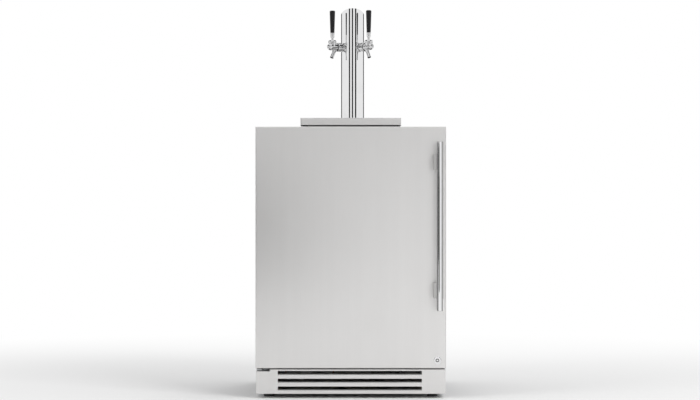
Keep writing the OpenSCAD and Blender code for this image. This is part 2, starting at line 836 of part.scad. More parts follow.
// Condenser coil in its sheet housing, with the ring that the fan turns in
module condenser_coil() {
    half = cond_l / 2 + 0.8;
    color(copper) translate([cond_x, bay_mid_y, cond_z]) rotate([0, 0, 90])
        fin_coil(cond_l, cond_cols, 8, 4.5, 0);
    color(sheet) translate([0, bay_mid_y, cond_z]) difference() {
        box([cond_x + coil_pitch, -half, 0], [cond_fan_x + 8, half, cond_h]);
        box([cond_x + coil_pitch - 1, -half + 1.2, 1.2], [cond_fan_x + 6.8, half - 1.2, cond_h - 1.2]);
        translate([cond_fan_x, 0, cond_fan_z - cond_z]) rotate([0, 90, 0])
            cylinder(r = cond_fan_r, h = 20, center = true);
    }
}

module condenser_motor() {
    motor_x = cond_fan_x + 26;
    color(dark) translate([motor_x, bay_mid_y, cond_fan_z]) {
        rotate([0, 90, 0]) {
            cylinder(r = 20, h = 34);
            translate([0, 0, -24]) cylinder(r = 2.5, h = 25);
        }
        for (a = [45 : 90 : 315])
            rotate([a, 0, 0]) {
                box([2, -2, 16], [5, 2, cond_fan_r + 8]);
                box([-18, -2, cond_fan_r + 4], [5, 2, cond_fan_r + 8]);
            }
    }
}

module condenser_fan() {
    color(dark) translate([cond_fan_x + 14, bay_mid_y, cond_fan_z]) rotate([0, 90, 0])
        fan(cond_fan_r - 3, 12, 10, 4);
}

// Copper lines: discharge, liquid line with the drier, capillary and suction
module refrigerant_lines() {
    top = comp_z + comp_h + gap;
    cond_end = bay_mid_y - cond_l / 2 - 4 - gap;
    line_y = cond_end - 8.5;
    cond_top = cond_z + cond_h - coil_pitch / 2;
    evap_end_z = evap_low + 40 + coil_pitch / 2;
    low = base_gap + pan_t + 8;
    drier_x = cond_x + 130;
    color(copper) {
        hose(bent([
            [comp_x - 22, bay_mid_y, top], [comp_x - 22, bay_mid_y, top + 30],
            [cond_x + coil_pitch / 2, line_y, top + 30], [cond_x + coil_pitch / 2, line_y, cond_top],
            [cond_x + coil_pitch / 2, cond_end, cond_top]
        ], 6), 3);
        hose(bent([
            [cond_x - coil_pitch / 2, cond_end, cond_top], [cond_x - coil_pitch / 2, line_y, cond_top],
            [cond_x - 34, line_y, cond_top], [cond_x - 34, line_y, low], [drier_x, line_y, low],
            [drier_x, line_y, cond_z + 19.7]
        ], 5), 2.5);
        translate([drier_x, line_y, cond_z + 20]) {
            cylinder(r1 = 2.5, r2 = 7.5, h = 8);
            translate([0, 0, 8]) cylinder(r = 7.5, h = 70);
            translate([0, 0, 78]) cylinder(r1 = 7.5, r2 = 1.5, h = 8);
        }
        hose(bent([
            [drier_x, line_y, cond_z + 106.3],
            [drier_x, line_y, bay_top - 14], [pass_x, line_y, bay_top - 14],
            [pass_x, evap_coil_y - coil_pitch / 2, bay_top - 14],
            [pass_x, evap_coil_y - coil_pitch / 2, evap_end_z],
            [evap_end_x + gap, evap_coil_y - coil_pitch / 2, evap_end_z]
        ], 5), 1.5);
        hose(bent([
            [comp_x + 14, bay_mid_y + 12, top], [comp_x + 14, bay_mid_y + 12, top + 60],
            [pass_x, evap_coil_y + coil_pitch / 2, top + 60],
            [pass_x, evap_coil_y + coil_pitch / 2, evap_end_z],
            [evap_end_x + gap, evap_coil_y + coil_pitch / 2, evap_end_z]
        ], 8), 3.5);
    }
}

// Controls

module control_housing() {
    color(white) difference() {
        translate([0, housing_y, ceil_z - housing_h]) soft_front_box(housing_w, housing_h, housing_d, 5);
        translate([-22, housing_y - 1, ceil_z - housing_h / 2]) rotate([-90, 0, 0])
            cylinder(r = 3 + run_fit, h = 16);
        translate([26, 0, ceil_z - housing_h / 2]) upright(housing_y - 1, 2) round_rect(44, 14, 3);
        for (i = [-2 : 2])
            translate([i * 20, housing_y + housing_d / 2, ceil_z - housing_h - 1]) rotate([0, 0, 90])
                linear_extrude(2.5) slot(50, 5);
    }
}

module thermostat_dial() {
    color(dark) translate([-22, housing_y - gap, ceil_z - housing_h / 2]) rotate([90, 0, 0]) {
        difference() {
            union() {
                cylinder(r = dial_r, h = 8);
                translate([0, 0, 8]) cylinder(r1 = dial_r, r2 = dial_r - 1, h = 1);
            }
            for (a = [0 : 30 : 330])
                rotate([0, 0, a]) translate([dial_r + 0.6, 0, 2]) cylinder(r = 1.4, h = 10);
            box([-0.6, 2, 8.2], [0.6, dial_r, 10]);
        }
        translate([0, 0, -14]) cylinder(r = 3, h = 15);
    }
}

module power_inlet() {
    z = base_gap + pan_t + 32;
    color(dark) difference() {
        union() {
            upright(y_panel - 16, 16 + skin_t) translate([0, z]) square([28, 20.4], center = true);
            upright(y_panel - 2, 2) translate([0, z]) round_rect(50, 23, 4);
        }
        upright(y_back - 14, 15) translate([0, z]) round_rect(24, 16.4, 3);
    }
    color(bright) for (x = [-7, 0, 7])
        box([x - 1, y_panel - 15, z - 2 + (x == 0 ? 3 : 0)], [x + 1, y_back - 2, z + 2 + (x == 0 ? 3 : 0)]);
}

// Tower

module tower_column() {
    flange_top = cab_h + tower_flange_t;
    color(bright) difference() {
        union() {
            translate([tower_x, tower_y, cab_h]) cylinder(r = tower_r, h = tower_h);
            translate([tower_x, tower_y, cab_h]) cylinder(r = tower_flange_r, h = tower_flange_t - 1);
            translate([tower_x, tower_y, flange_top - 1])
                cylinder(r1 = tower_flange_r, r2 = tower_flange_r - 1, h = 1);
        }
        translate([tower_x, tower_y, cab_h - 1]) cylinder(r = tower_r - tower_t, h = tower_h + 2);
        above_cut(0);
        tap_places() rotate([0, 90, 0]) cylinder(r = shank_r + 0.2, h = tower_r + 5);
        for (a = [45 : 90 : 315])
            translate([tower_x + (tower_flange_r - 9) * cos(a),
                tower_y + (tower_flange_r - 9) * sin(a), cab_h - 1])
                cylinder(r = 2.75, h = tower_flange_t + 2);
    }
}

// Half space above the slanting cut at the tower's top, lowered by d
module above_cut(d) {
    translate([tower_x, tower_y - tower_r, cab_h + tower_h]) rotate([-tower_cut, 0, 0])
        translate([-100, -100, -d]) cube([200, 300, 100]);
}

module tower_cap() {
    color(bright) difference() {
        intersection() {
            translate([tower_x, tower_y, cab_h + tower_h - 120])
                cylinder(r = tower_r - tower_t - run_fit, h = 140);
            above_cut(2.5);
        }
        above_cut(0.4);
    }
}

// Places of the taps: x points straight out of the tower at the height of the shanks
module tap_place(turn) {
    translate([tower_x, tower_y, tap_z]) rotate([0, 0, turn - 90]) children();
}
module tap_places() {
    for (turn = tap_turns)
        tap_place(turn) children();
}

// Round bar along x from one place to another
module bar(x1, x2, r) {
    translate([x1, 0, 0]) rotate([0, 90, 0]) cylinder(r = r, h = x2 - x1);
}
module taper(x1, x2, r1, r2) {
    translate([x1, 0, 0]) rotate([0, 90, 0]) cylinder(r1 = r1, r2 = r2, h = x2 - x1);
}

// Shanks: collar against the tower, bore for the valve head and an elbow down to the beer line
module tap_shanks() {
    color(bright) tap_places() {
        difference() {
            bar(tower_r - 4, tower_r + 6, shank_r + 4);
            bar(tower_r - 5, tower_r + 7, shank_r - 0.1);
            translate([0, 0, -40]) cylinder(r = tower_r, h = 80);
        }
        difference() {
            union() {
                bar(elbow_x - 6, shank_end, shank_r);
                translate([elbow_x, 0, -22]) cylinder(r = 5, h = 22);
                translate([elbow_x, 0, -20]) cylinder(r1 = 4.2, r2 = 5.6, h = 5);
            }
            bar(44, shank_end + 1, shank_bore_r);
            bar(elbow_x, 45, 3);
            translate([elbow_x, 0, -23]) cylinder(r = 3, h = 24);
        }
    }
}

// Coupling nuts over the joints, and the jam nuts inside the tower
module shank_nuts() {
    color(bright) tap_places() {
        difference() {
            union() {
                bar(51, 64, nut_r);
                taper(64, 66, nut_r, nut_r - 1.5);
                taper(49.5, 51, nut_r - 1.2, nut_r);
            }
            bar(49, shank_end + 0.2, shank_r + run_fit);
            bar(shank_end + 0.1, 67, shank_r + run_fit);
            for (a = [0 : 45 : 315])
                rotate([a, 0, 0]) translate([57.5, 0, nut_r + 0.8]) cube([9, 4, 3.4], center = true);
        }
        difference() {
            translate([elbow_x + 6, 0, 0]) rotate([0, 90, 0]) cylinder(r = 13.8, h = 5, $fn = 6);
            bar(elbow_x + 5, elbow_x + 12, shank_r + run_fit);
        }
    }
}

// Tap body: barrel with the valve seat, lever socket, and spout
module tap_body() {
    spout_root = [chamber_end - 5, 0, -5];
    spout_end = [tap_reach + 3, 0, -spout_drop];
    along = spout_end - spout_root;
    tilt = atan2(along.x, -along.z);
    difference() {
        union() {
            bar(shank_end + 0.2, 66.5, shank_r);
            taper(66.5, 70, shank_r, 12);
            bar(70, nose_x - 5, 12);
            translate([nose_x - 5, 0, 0]) sphere(12);
            translate([tap_reach, 0, 0]) cylinder(r = 12, h = bonnet_low);
            translate(spout_root) rotate([0, 180 - tilt, 0]) {
                cylinder(r1 = 8.2, r2 = spout_r, h = 16);
                cylinder(r = spout_r, h = norm(along));
                translate([0, 0, norm(along) - 1.5]) cylinder(r = spout_r + 0.6, h = 1.5);
            }
        }
        bar(shank_end, 70, 5.2);
        bar(shank_end + seat_t, chamber_end, chamber_r);
        bar(chamber_end - 1, nose_x + 1, shaft_r + 0.08);
        translate(spout_root) rotate([0, 180 - tilt, 0]) cylinder(r = spout_r - 1.3, h = norm(along) + 2);
        translate([tap_reach - 3.8, 0, 0]) linear_extrude(bonnet_low + 1) slot(14.4, 6.8);
        translate([tap_reach, 0, ball_up]) sphere(ball_r + gap);
    }
}
module tap_body_left() color(bright) tap_place(tap_turns[0]) tap_body();
module tap_body_right() color(bright) tap_place(tap_turns[1]) tap_body();

module bonnet() {
    slot_reach = 10.4;
    slot_w = 2 * rod_r + 0.8;
    difference() {
        union() {
            translate([0, 0, bonnet_low + gap]) cylinder(r = bonnet_r, h = 4);
            translate([0, 0, bonnet_low + gap + 4])
                cylinder(r1 = bonnet_r, r2 = bonnet_r - 1.6, h = bonnet_top - bonnet_low - 4 - gap);
        }
        translate([0, 0, ball_up]) sphere(ball_r + gap);
        for (a = [0 : 30 : 330])
            rotate([0, 0, a]) translate([bonnet_r + 1, 0, bonnet_low - 1]) cylinder(r = 1.8, h = 20);
        translate([(slot_reach - slot_w / 2) / 2, 0, ball_up]) linear_extrude(20)
            slot(slot_reach + slot_w / 2, slot_w);
    }
}
module tap_bonnets() {
    color(bright) tap_places() translate([tap_reach, 0, 0]) bonnet();
}

// Lever: tongue, ball, rod, ferrule and the stud inside the grip, in one turned piece
module tap_lever() {
    translate([tap_reach, 0, 0]) {
        translate([0, 0, ball_up]) sphere(ball_r);
        translate([0, 0, ball_up - tongue_arm]) {
            sphere(2.6);
            cylinder(r = 2.2, h = tongue_arm);
        }
        translate([0, 0, ball_up]) cylinder(r = rod_r, h = grip_low - ball_up + 14);
        translate([0, 0, ferrule_low]) cylinder(r1 = 5.2, r2 = 6.6, h = 3);
        translate([0, 0, ferrule_low + 3]) cylinder(r = 6.6, h = 5);
        translate([0, 0, ferrule_low + 8]) cylinder(r = 5.8, h = 2);
        translate([0, 0, ferrule_low + 10]) cylinder(r = 6.6, h = grip_low - ferrule_low - 10);
    }
}
module tap_lever_left() color(bright) tap_place(tap_turns[0]) tap_lever();
module tap_lever_right() color(bright) tap_place(tap_turns[1]) tap_lever();

module tap_grip() {
    dome = 2;
    translate([tap_reach, 0, grip_low]) difference() {
        union() {
            cylinder(r1 = grip_low_r - 0.6, r2 = grip_low_r, h = 1);
            translate([0, 0, 1]) cylinder(r1 = grip_low_r, r2 = grip_top_r, h = grip_l - dome - 1);
            translate([0, 0, grip_l - dome]) cylinder(r1 = grip_top_r, r2 = grip_top_r - 2, h = dome);
        }
        translate([0, 0, -1]) cylinder(r = rod_r + run_fit, h = 16);
    }
}
module tap_grip_left() color(dark) tap_place(tap_turns[0]) tap_grip();
module tap_grip_right() color(dark) tap_place(tap_turns[1]) tap_grip();

// Valve shaft: seat washer on its head behind the seat, neck through it, and the guide with the tongue's hole
module valve_shaft() {
    difference() {
        union() {
            bar(54.5, 58, 6.6);
            taper(53, 54.5, 4, 6.6);
            bar(57, 74, 3);
            taper(71, 74, 3, shaft_r);
            bar(74, tap_reach + 6.5, shaft_r);
        }
        translate([tap_reach, 0, -1.8]) cylinder(r = 3.3, h = 20);
    }
}
module valve_shaft_left() color(steel) tap_place(tap_turns[0]) valve_shaft();
module valve_shaft_right() color(steel) tap_place(tap_turns[1]) valve_shaft();

// Beer lines: down the tower, along the ceiling and down the right wall to the coupler
module beer_lines() {
    wall_x = inner_w / 2 - beer_line_r - 6;
    run_z = ceil_z - beer_line_r - 5;
    end_z = keg_z + gap + coupler_h + 21.7;
    color([0.85, 0.85, 0.82]) for (i = [0, 1]) {
        side = 2 * i - 1;
        turn = tap_turns[i] - 90;
        top = [tower_x + elbow_x * cos(turn), tower_y + elbow_x * sin(turn), tap_z - 22.3];
        hole = [tower_x + side * 8, tower_y, 0];
        run_y = coupler_y + 10 + side * (beer_line_r + 2);
        tail_y = coupler_y + side * 11;
        hose(bent([
            top, [top.x, top.y, cab_h + 60], hole + [0, 0, cab_h - 10], hole + [0, 0, run_z],
            [tower_x + 110 + side * 6, run_y, run_z], [wall_x, run_y, run_z], [wall_x, run_y, end_z + 90],
            [coupler_x, tail_y, end_z + 45], [coupler_x, tail_y, end_z]
        ], 10, 3), beer_line_r);
    }
}

// Drip tray

module drip_tray() {
    ledge = 3;
    color(steel) translate([0, tray_y, tray_low]) difference() {
        linear_extrude(tray_h) round_rect(tray_w, tray_d, 5);
        translate([0, 0, tray_t]) linear_extrude(tray_h) round_rect(tray_w - 2 * tray_t - 2 * ledge,
            tray_d - 2 * tray_t - 2 * ledge, 3);
        translate([0, 0, tray_h - 3.5]) linear_extrude(10)
            round_rect(tray_w - 2 * tray_t, tray_d - 2 * tray_t, 4);
    }
}

module drip_grid() {
    n = 26;
    w = tray_w - 2 * tray_t - 1;
    d = tray_d - 2 * tray_t - 1;
    color(steel) translate([0, tray_y, tray_top - 3.5 + gap]) difference() {
        linear_extrude(2) round_rect(w, d, 3.8);
        for (i = [0 : n - 1], s = [-1, 1])
            translate([(i - (n - 1) / 2) * (w - 24) / n, s * d / 4, -1]) rotate([0, 0, 90])
                linear_extrude(4) slot(d / 2 - 16, 5);
    }
}

module tray_feet() {
    color(dark) for (sx = [-1, 1], sy = [-1, 1])
        translate([sx * (tray_w / 2 - 16), tray_y + sy * (tray_d / 2 - 16), cab_h])
            cylinder(r1 = 7.5, r2 = 8.5, h = tray_foot_h);
}

// Gas and keg fittings

module gas_cylinder() {
    wall = 7;
    color(bright) translate([gas_x, gas_y, keg_z + gap]) rotate_extrude() difference() {
        union() {
            translate([0, 6]) square([gas_r, gas_h - 46]);
            square([gas_r - 6, 10]);
            translate([gas_r - 6, 6]) circle(6);
            intersection() {
                translate([0, gas_h - 40]) circle(gas_r);
                square([gas_r, gas_h + 20]);
            }
            translate([0, gas_h]) square([15, neck_h]);
        }
        translate([0, wall + 3]) square([gas_r - wall, gas_h - 47 - wall]);
        intersection() {
            translate([0, gas_h - 40]) circle(gas_r - wall);
            translate([0, gas_h - 60]) square([gas_r, 80]);
        }
        translate([0, gas_h - 20]) square([9 + run_fit, neck_h + 40]);
        translate([-100, -1]) square([100, gas_h + 50]);
    }
}

// Cylinder valve: threaded foot in the neck, body, gland round the spindle and the outlet to the front
module cylinder_valve() {
    color(brass) translate([gas_x, gas_y, valve_z]) {
        translate([0, 0, -24]) cylinder(r = 9, h = 14);
        translate([0, 0, -11]) cylinder(r = 12.5, h = 4);
        translate([0, 0, -8]) cylinder(r = 10, h = 24);
        difference() {
            translate([0, 0, 15]) cylinder(r = 6, h = 9);
            translate([0, 0, 16.2]) cylinder(r = 2.5 + run_fit, h = 20);
        }
        rotate([90, 0, 0]) cylinder(r = 8, h = valve_reach);
    }
}

module valve_handwheel() {
    color(dark) translate([gas_x, gas_y, valve_z + 25.5]) {
        difference() {
            union() {
                cylinder(r = 17, h = 9);
                translate([0, 0, -1]) cylinder(r = 6, h = 12);
            }
            for (a = [0 : 45 : 315])
                rotate([0, 0, a]) translate([19, 0, -1]) cylinder(r = 4.5, h = 12);
        }
        translate([0, 0, -8]) cylinder(r = 2.5, h = 9);
    }
}

// Regulator: nut on the valve's outlet, body, gauge stems, and the outlet barb pointing down
module regulator_body() {
    color(bright) translate([gas_x, reg_y, valve_z]) {
        difference() {
            rotate([-90, 0, 0]) cylinder(r = 13, h = 20, $fn = 6);
            translate([0, 10 - gap, 0]) rotate([-90, 0, 0]) cylinder(r = 8 + run_fit, h = 12);
        }
        rotate([90, 0, 0]) cylinder(r = 21, h = 22);
        translate([0, -22, 0]) rotate([90, 0, 0]) cylinder(r1 = 21, r2 = 17, h = 5);
        translate([0, -27, 0]) rotate([90, 0, 0]) difference() {
            cylinder(r = 12, h = 4);
            translate([0, 0, 0.2]) cylinder(r = 4 + run_fit, h = 6);
        }
        for (s = [-1, 1])
            rotate([0, s * gauge_tilt, 0]) translate([0, -8, 0]) cylinder(r = 4.5, h = 30);
        translate([0, -outlet_y, -34]) cylinder(r = 4.5, h = 20);
        translate([0, -outlet_y, -34]) cylinder(r1 = 3.6, r2 = 5.2, h = 5);
    }
}

module pressure_gauges() {
    case_r = 17.5;
    color(brass) for (s = [-1, 1])
        translate([gas_x, reg_y - 8, valve_z]) rotate([0, s * gauge_tilt, 0]) translate([0, 0, 30 + gap])
            translate([0, 0, case_r]) rotate([0, -s * gauge_tilt, 0]) rotate([90, 0, 0]) {
                difference() {
                    translate([0, 0, -9]) cylinder(r = case_r, h = 20);
                    translate([0, 0, 9]) cylinder(r = case_r - 2, h = 4);
                }
                translate([0, 0, 8]) cylinder(r = 1.6, h = 2.4);
                rotate([0, 0, s * 40]) translate([-0.4, -3, 8.5]) cube([0.8, 15, 1]);
            }
}

module regulator_knob() {
    color(dark) translate([gas_x, reg_y - 31 - gap, valve_z]) rotate([90, 0, 0]) {
        difference() {
            cylinder(r1 = 14, r2 = 13, h = 14);
            for (a = [0 : 40 : 320])
                rotate([0, 0, a]) translate([15, 0, -1]) cylinder(r = 2.5, h = 16);
        }
        translate([0, 0, -3.5]) cylinder(r = 4, h = 5);
    }
}

module gas_line() {
    start = [gas_x, reg_y - outlet_y, valve_z - 34 - gap];
    front_y = gas_y - gas_r - gas_line_r - 3;
    port_z = keg_z + gap + 56;
    color([0.75, 0.2, 0.18]) hose(bent([
        start, start - [0, 0, 9], [start.x, front_y, start.z - 26], [start.x, front_y, port_z + 40],
        [start.x + 12, front_y - 40, port_z], [coupler_x, coupler_y + 76, port_z],
        [coupler_x, coupler_y + coupler_r + 16 + gap, port_z]
    ], 10, 3), gas_line_r);
}

// Keg coupler standing on the keg floor: lugs, body, side barb for gas and a forked tail for both beer lines
module keg_coupler() {
    z = keg_z + gap;
    color(bright) translate([coupler_x, coupler_y, z]) {
        difference() {
            union() {
                cylinder(r = coupler_r, h = 16);
                translate([0, 0, 16]) cylinder(r1 = coupler_r, r2 = 19, h = 10);
                translate([0, 0, 26]) cylinder(r = 19, h = 50);
                translate([0, 0, 76]) cylinder(r1 = 19, r2 = 11, h = 8);
                translate([0, 0, 84]) cylinder(r = 11, h = coupler_h - 84);
                translate([0, 15, 56]) rotate([-90, 0, 0]) cylinder(r = 5, h = coupler_r + 1);
            }
            translate([0, 0, -1]) cylinder(r = 17, h = 20);
            for (s = [-1, 1])
                translate([s * 24, 0, -1]) cube([20, 16, 12], center = true);
            box([-7.3, -30, 34], [7.3, -4.5, 73]);
            translate([-40, -13, 52]) rotate([0, 90, 0]) cylinder(r = 3 + run_fit, h = 80);
        }
        translate([0, 0, coupler_h - 1]) cylinder(r = 9, h = 7);
        translate([0, 0, coupler_h]) rotate([90, 0, 0]) cylinder(r = 5, h = 34, center = true);
        for (s = [-1, 1])
            translate([0, s * 11, coupler_h]) cylinder(r = 3.6, h = 21.4);
        translate([0, 0, 3]) cylinder(r = 7, h = 18);
    }
}

module coupler_handle() {
    color(dark) translate([coupler_x, coupler_y - 13, keg_z + gap + 52]) {
        rotate([0, 90, 0]) cylinder(r = 3, h = 36, center = true);
        rotate([35, 0, 0]) {
            translate([-7, -6, -5]) cube([14, 12, 24]);
            translate([0, 0, 18]) cylinder(r1 = 5.5, r2 = 7, h = 44);
            translate([0, 0, 62]) cylinder(r1 = 7, r2 = 5, h = 3);
        }
    }
}

// Door

// Space that the fixed top hinge plate needs in the door, over the whole swing
module hinge_pocket() {
    box([-door_w / 2 - 1, hinge_y - hinge_half - 6.5, pocket_z],
        [hinge_x + hinge_half + 2.5, y_seal + 1, door_top + 1]);
}

module door_holes() {
    hinge_pocket();
    translate([hinge_x, hinge_y, pocket_z - bush_l - 1]) cylinder(r = bush_r, h = bush_l + 2);
    translate([hinge_x, hinge_y, door_z - 1]) cylinder(r = bush_r, h = bush_l + 2);
    translate([lock_x, y_door - 1, lock_z]) rotate([-90, 0, 0]) cylinder(r = barrel_r, h = barrel_l + 2);
    intersection() {
        upright(cam_y - 1, cam_t + 3) translate([lock_x, lock_z]) circle(cam_l + 1.5);
        box([lock_x - cam_l - 2, y_door, door_z - 1],
            [lock_x + cam_w / 2 + 1.5, y_seal, lock_z + cam_w / 2 + 1.5]);
    }
}

module door_skin() {
    color(steel) difference() {
        translate([0, y_door, door_z]) soft_front_box(door_w, door_h, door_t - door_liner_t, door_edge_r);
        translate([0, y_door + skin_t, door_z + skin_t])
            soft_front_box(door_w - 2 * skin_t, door_h - 2 * skin_t, door_t, door_edge_r - skin_t);
        door_holes();
    }
}

module door_foam() {
    color(foam_tone) difference() {
        translate([0, y_door + skin_t, door_z + skin_t])
            soft_front_box(door_w - 2 * skin_t, door_h - 2 * skin_t,
                door_t - skin_t - door_liner_t, door_edge_r - skin_t);
        upright(y_seal - door_liner_t - dish_depth, door_liner_t + dish_depth)
            door_middle() round_rect(dish_w() + 2 * door_liner_t, dish_h() + 2 * door_liner_t, 14);
        door_holes();
    }
}
function dish_w() = 2 * seal_in - 24;
function dish_h() = seal_top - seal_low - 24;
module door_middle() translate([0, (seal_top + seal_low) / 2]) children();

module door_liner() {
    color(white) difference() {
        union() {
            box([-door_w / 2, y_seal - door_liner_t, door_z], [door_w / 2, y_seal, door_top]);
            upright(y_seal - door_liner_t - dish_depth, door_liner_t + dish_depth)
                door_middle() round_rect(dish_w() + 2 * door_liner_t, dish_h() + 2 * door_liner_t, 14);
        }
        upright(y_seal - dish_depth, dish_depth + 1) door_middle() round_rect(dish_w(), dish_h(), 12);
        hinge_pocket();
    }
}

// Door seal: a frame with a bellows groove on its inner and outer side
module door_gasket() {
    h = seal_top - seal_low;
    t = seal_gap - gap;
    color([0.75, 0.75, 0.74]) difference() {
        upright(y_seal, t) door_middle() difference() {
            round_rect(2 * (seal_in + seal_w), h + 2 * seal_w, 8);
            round_rect(2 * seal_in, h, 4);
        }
        upright(y_seal + t * 0.35, t * 0.3) door_middle() difference() {
            round_rect(2 * (seal_in + 4), h + 8, 6);
            round_rect(2 * seal_in - 2, h - 2, 3);
        }
    }
}

module handle_tube() {
    dome_r = 30;
    sag = dome_r - sqrt(dome_r * dome_r - tube_r * tube_r);
    color(bright) translate([tube_x, tube_y, handle_z]) {
        cylinder(r = tube_r, h = tube_l - 2 * sag, center = true);
        for (s = [0, 1])
            mirror([0, 0, s]) intersection() {
                translate([0, 0, tube_l / 2 - dome_r]) sphere(dome_r);
                cylinder(r = tube_r, h = tube_l);
            }
    }
}

module handle_brackets() {
    color(steel) difference() {
        for (s = [-1, 1])
            upright(tube_y + 3, y_door - tube_y - 3)
                translate([bracket_x, handle_z + s * bracket_pitch / 2]) round_rect(bracket_w, bracket_h, 2);
        translate([tube_x, tube_y, handle_z]) cylinder(r = tube_r + run_fit, h = tube_l, center = true);
    }
}

module lock_barrel() {
    color(steel) translate([lock_x, y_door, lock_z]) rotate([-90, 0, 0]) difference() {
        union() {
            translate([0, 0, -2]) cylinder(r1 = bezel_r - 1, r2 = bezel_r, h = 1);
            translate([0, 0, -1]) cylinder(r = bezel_r, h = 1);
            cylinder(r = barrel_r, h = barrel_l);
        }
        translate([0, 0, -3]) cylinder(r = plug_r + run_fit, h = barrel_l + 5);
    }
}

module lock_plug() {
    color(bright) translate([lock_x, y_door, lock_z]) {
        rotate([-90, 0, 0]) difference() {
            translate([0, 0, -1.6]) cylinder(r = plug_r, h = barrel_l + 4.6);
            translate([0, 0, -2]) linear_extrude(8) square([1.4, 6], center = true);
        }
        box([-cam_l, barrel_l + 1, -cam_w / 2], [0, barrel_l + 1 + cam_t, cam_w / 2]);
        translate([0, barrel_l + 1, 0]) rotate([-90, 0, 0]) cylinder(r = cam_w / 2, h = cam_t);
    }
}

module hinge_bushes() {
    color(dark) translate([hinge_x, hinge_y, 0]) {
        translate([0, 0, pocket_z]) difference() {
            union() {
                cylinder(r = bush_flange_r, h = bush_flange_t);
                translate([0, 0, -bush_l]) cylinder(r = bush_r, h = bush_l);
            }
            translate([0, 0, -bush_l + 1]) cylinder(r = pin_r + run_fit, h = bush_l + 10);
        }
        difference() {
            union() {
                translate([0, 0, low_hinge_top + gap])
                    cylinder(r = bush_flange_r, h = door_z - low_hinge_top - gap);
                translate([0, 0, door_z]) cylinder(r = bush_r, h = bush_l);
            }
            translate([0, 0, low_hinge_top])
                cylinder(r = pin_r + run_fit, h = door_z - low_hinge_top + bush_l - 1);
        }
    }
}

outer_wrapper();
foam_insulation();
inner_liner();
rear_panel();
base_frame();
keg_floor();
toe_grille();
cabinet_screws();
hinge_plates();
leg_front_left();
leg_front_right();
leg_rear_left();
leg_rear_right();
evaporator_coil();
evaporator_cover();
evaporator_fan();
evaporator_motor();
compressor();
condenser_coil();
condenser_motor();
condenser_fan();
refrigerant_lines();
control_housing();
thermostat_dial();
power_inlet();
tower_column();
tower_cap();
tap_shanks();
shank_nuts();
tap_body_left();
tap_body_right();
tap_bonnets();
tap_lever_left();
tap_lever_right();
tap_grip_left();
tap_grip_right();
valve_shaft_left();
valve_shaft_right();
beer_lines();
drip_tray();
drip_grid();
tray_feet();
gas_cylinder();
cylinder_valve();
valve_handwheel();
regulator_body();
pressure_gauges();
regulator_knob();
gas_line();
keg_coupler();
coupler_handle();
door_skin();
door_foam();
door_liner();
door_gasket();
handle_tube();
handle_brackets();
lock_barrel();
lock_plug();
hinge_bushes();
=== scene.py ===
"""Finishes, small fittings and a studio for the undercounter beer dispenser.

Run as a script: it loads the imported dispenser, gives every part its finish, adds the small
fittings that the plain solids leave out, and sets up the floor, the lamps and the camera.
"""

import json
import math

import bmesh
import bpy
from bpy.types import Operator, Panel, PropertyGroup
from mathutils import Matrix, Quaternion, Vector


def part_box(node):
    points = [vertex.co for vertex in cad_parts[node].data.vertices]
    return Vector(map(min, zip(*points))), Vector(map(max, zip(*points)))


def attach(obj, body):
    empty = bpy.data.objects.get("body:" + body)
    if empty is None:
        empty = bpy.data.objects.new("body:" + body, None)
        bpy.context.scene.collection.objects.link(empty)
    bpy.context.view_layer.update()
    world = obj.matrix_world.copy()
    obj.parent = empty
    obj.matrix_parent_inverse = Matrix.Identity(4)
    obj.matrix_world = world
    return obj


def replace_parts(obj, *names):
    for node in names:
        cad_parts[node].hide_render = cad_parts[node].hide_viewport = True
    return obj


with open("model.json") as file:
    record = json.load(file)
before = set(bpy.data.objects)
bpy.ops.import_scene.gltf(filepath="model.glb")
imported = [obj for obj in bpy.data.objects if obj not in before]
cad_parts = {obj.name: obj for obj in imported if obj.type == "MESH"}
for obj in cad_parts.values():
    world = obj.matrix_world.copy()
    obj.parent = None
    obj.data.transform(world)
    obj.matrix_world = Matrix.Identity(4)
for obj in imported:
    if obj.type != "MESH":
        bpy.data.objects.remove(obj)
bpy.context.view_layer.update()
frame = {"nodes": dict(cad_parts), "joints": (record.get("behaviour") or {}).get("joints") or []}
NODES = frame["nodes"]

bl_info = {
    "name": "Beer dispenser dressing",
    "version": (1, 0, 0),
    "blender": (4, 5, 0),
    "location": "View3D > Sidebar > Dispenser",
    "description": "Finishes, fittings and a studio for an undercounter beer dispenser",
    "category": "Object",
}

MM = 0.001
TO_FRONT = (0, -1, 0)
RIGHT_ANGLE = math.pi / 2
ACROSS = (0, RIGHT_ANGLE, 0)
STILL = Matrix()
WHITE = (1.0, 1.0, 1.0, 1.0)

# How far the taps' pivots stand over their shanks, in millimetres
PIVOT_RISE = 14

# The hoses' routes in millimetres, as in the solids, with wider bends
BEER_ROUTES = [
    [
        (-11.19, -23.73, 1116.5), (-11.19, -23.73, 926.8), (-2, -10, 856.8), (-2, -10, 808.8),
        (110, -127, 808.8), (245, -127, 808.8), (245, -127, 347), (210, -141, 302), (210, -141, 257),
    ],
    [
        (19.73, -27.19, 1116.5), (19.73, -27.19, 926.8), (14, -10, 856.8), (14, -10, 808.8),
        (122, -113, 808.8), (245, -113, 808.8), (245, -113, 347), (210, -119, 302), (210, -119, 257),
    ],
]
BEER_BENDS = [60, 40, 12, 25, 25, 60, 55]
BEER_HOSE_RADIUS = 5.0
GAS_ROUTE = [
    (198.5, 78.5, 459.3), (198.5, 78.5, 450.3), (198.5, 70.5, 433.3), (198.5, 70.5, 227.3),
    (210.5, 30.5, 187.3), (210, -54, 187.3), (210, -84.7, 187.3),
]
GAS_BENDS = [14, 30, 50, 50, 10]
GAS_HOSE_RADIUS = 5.5

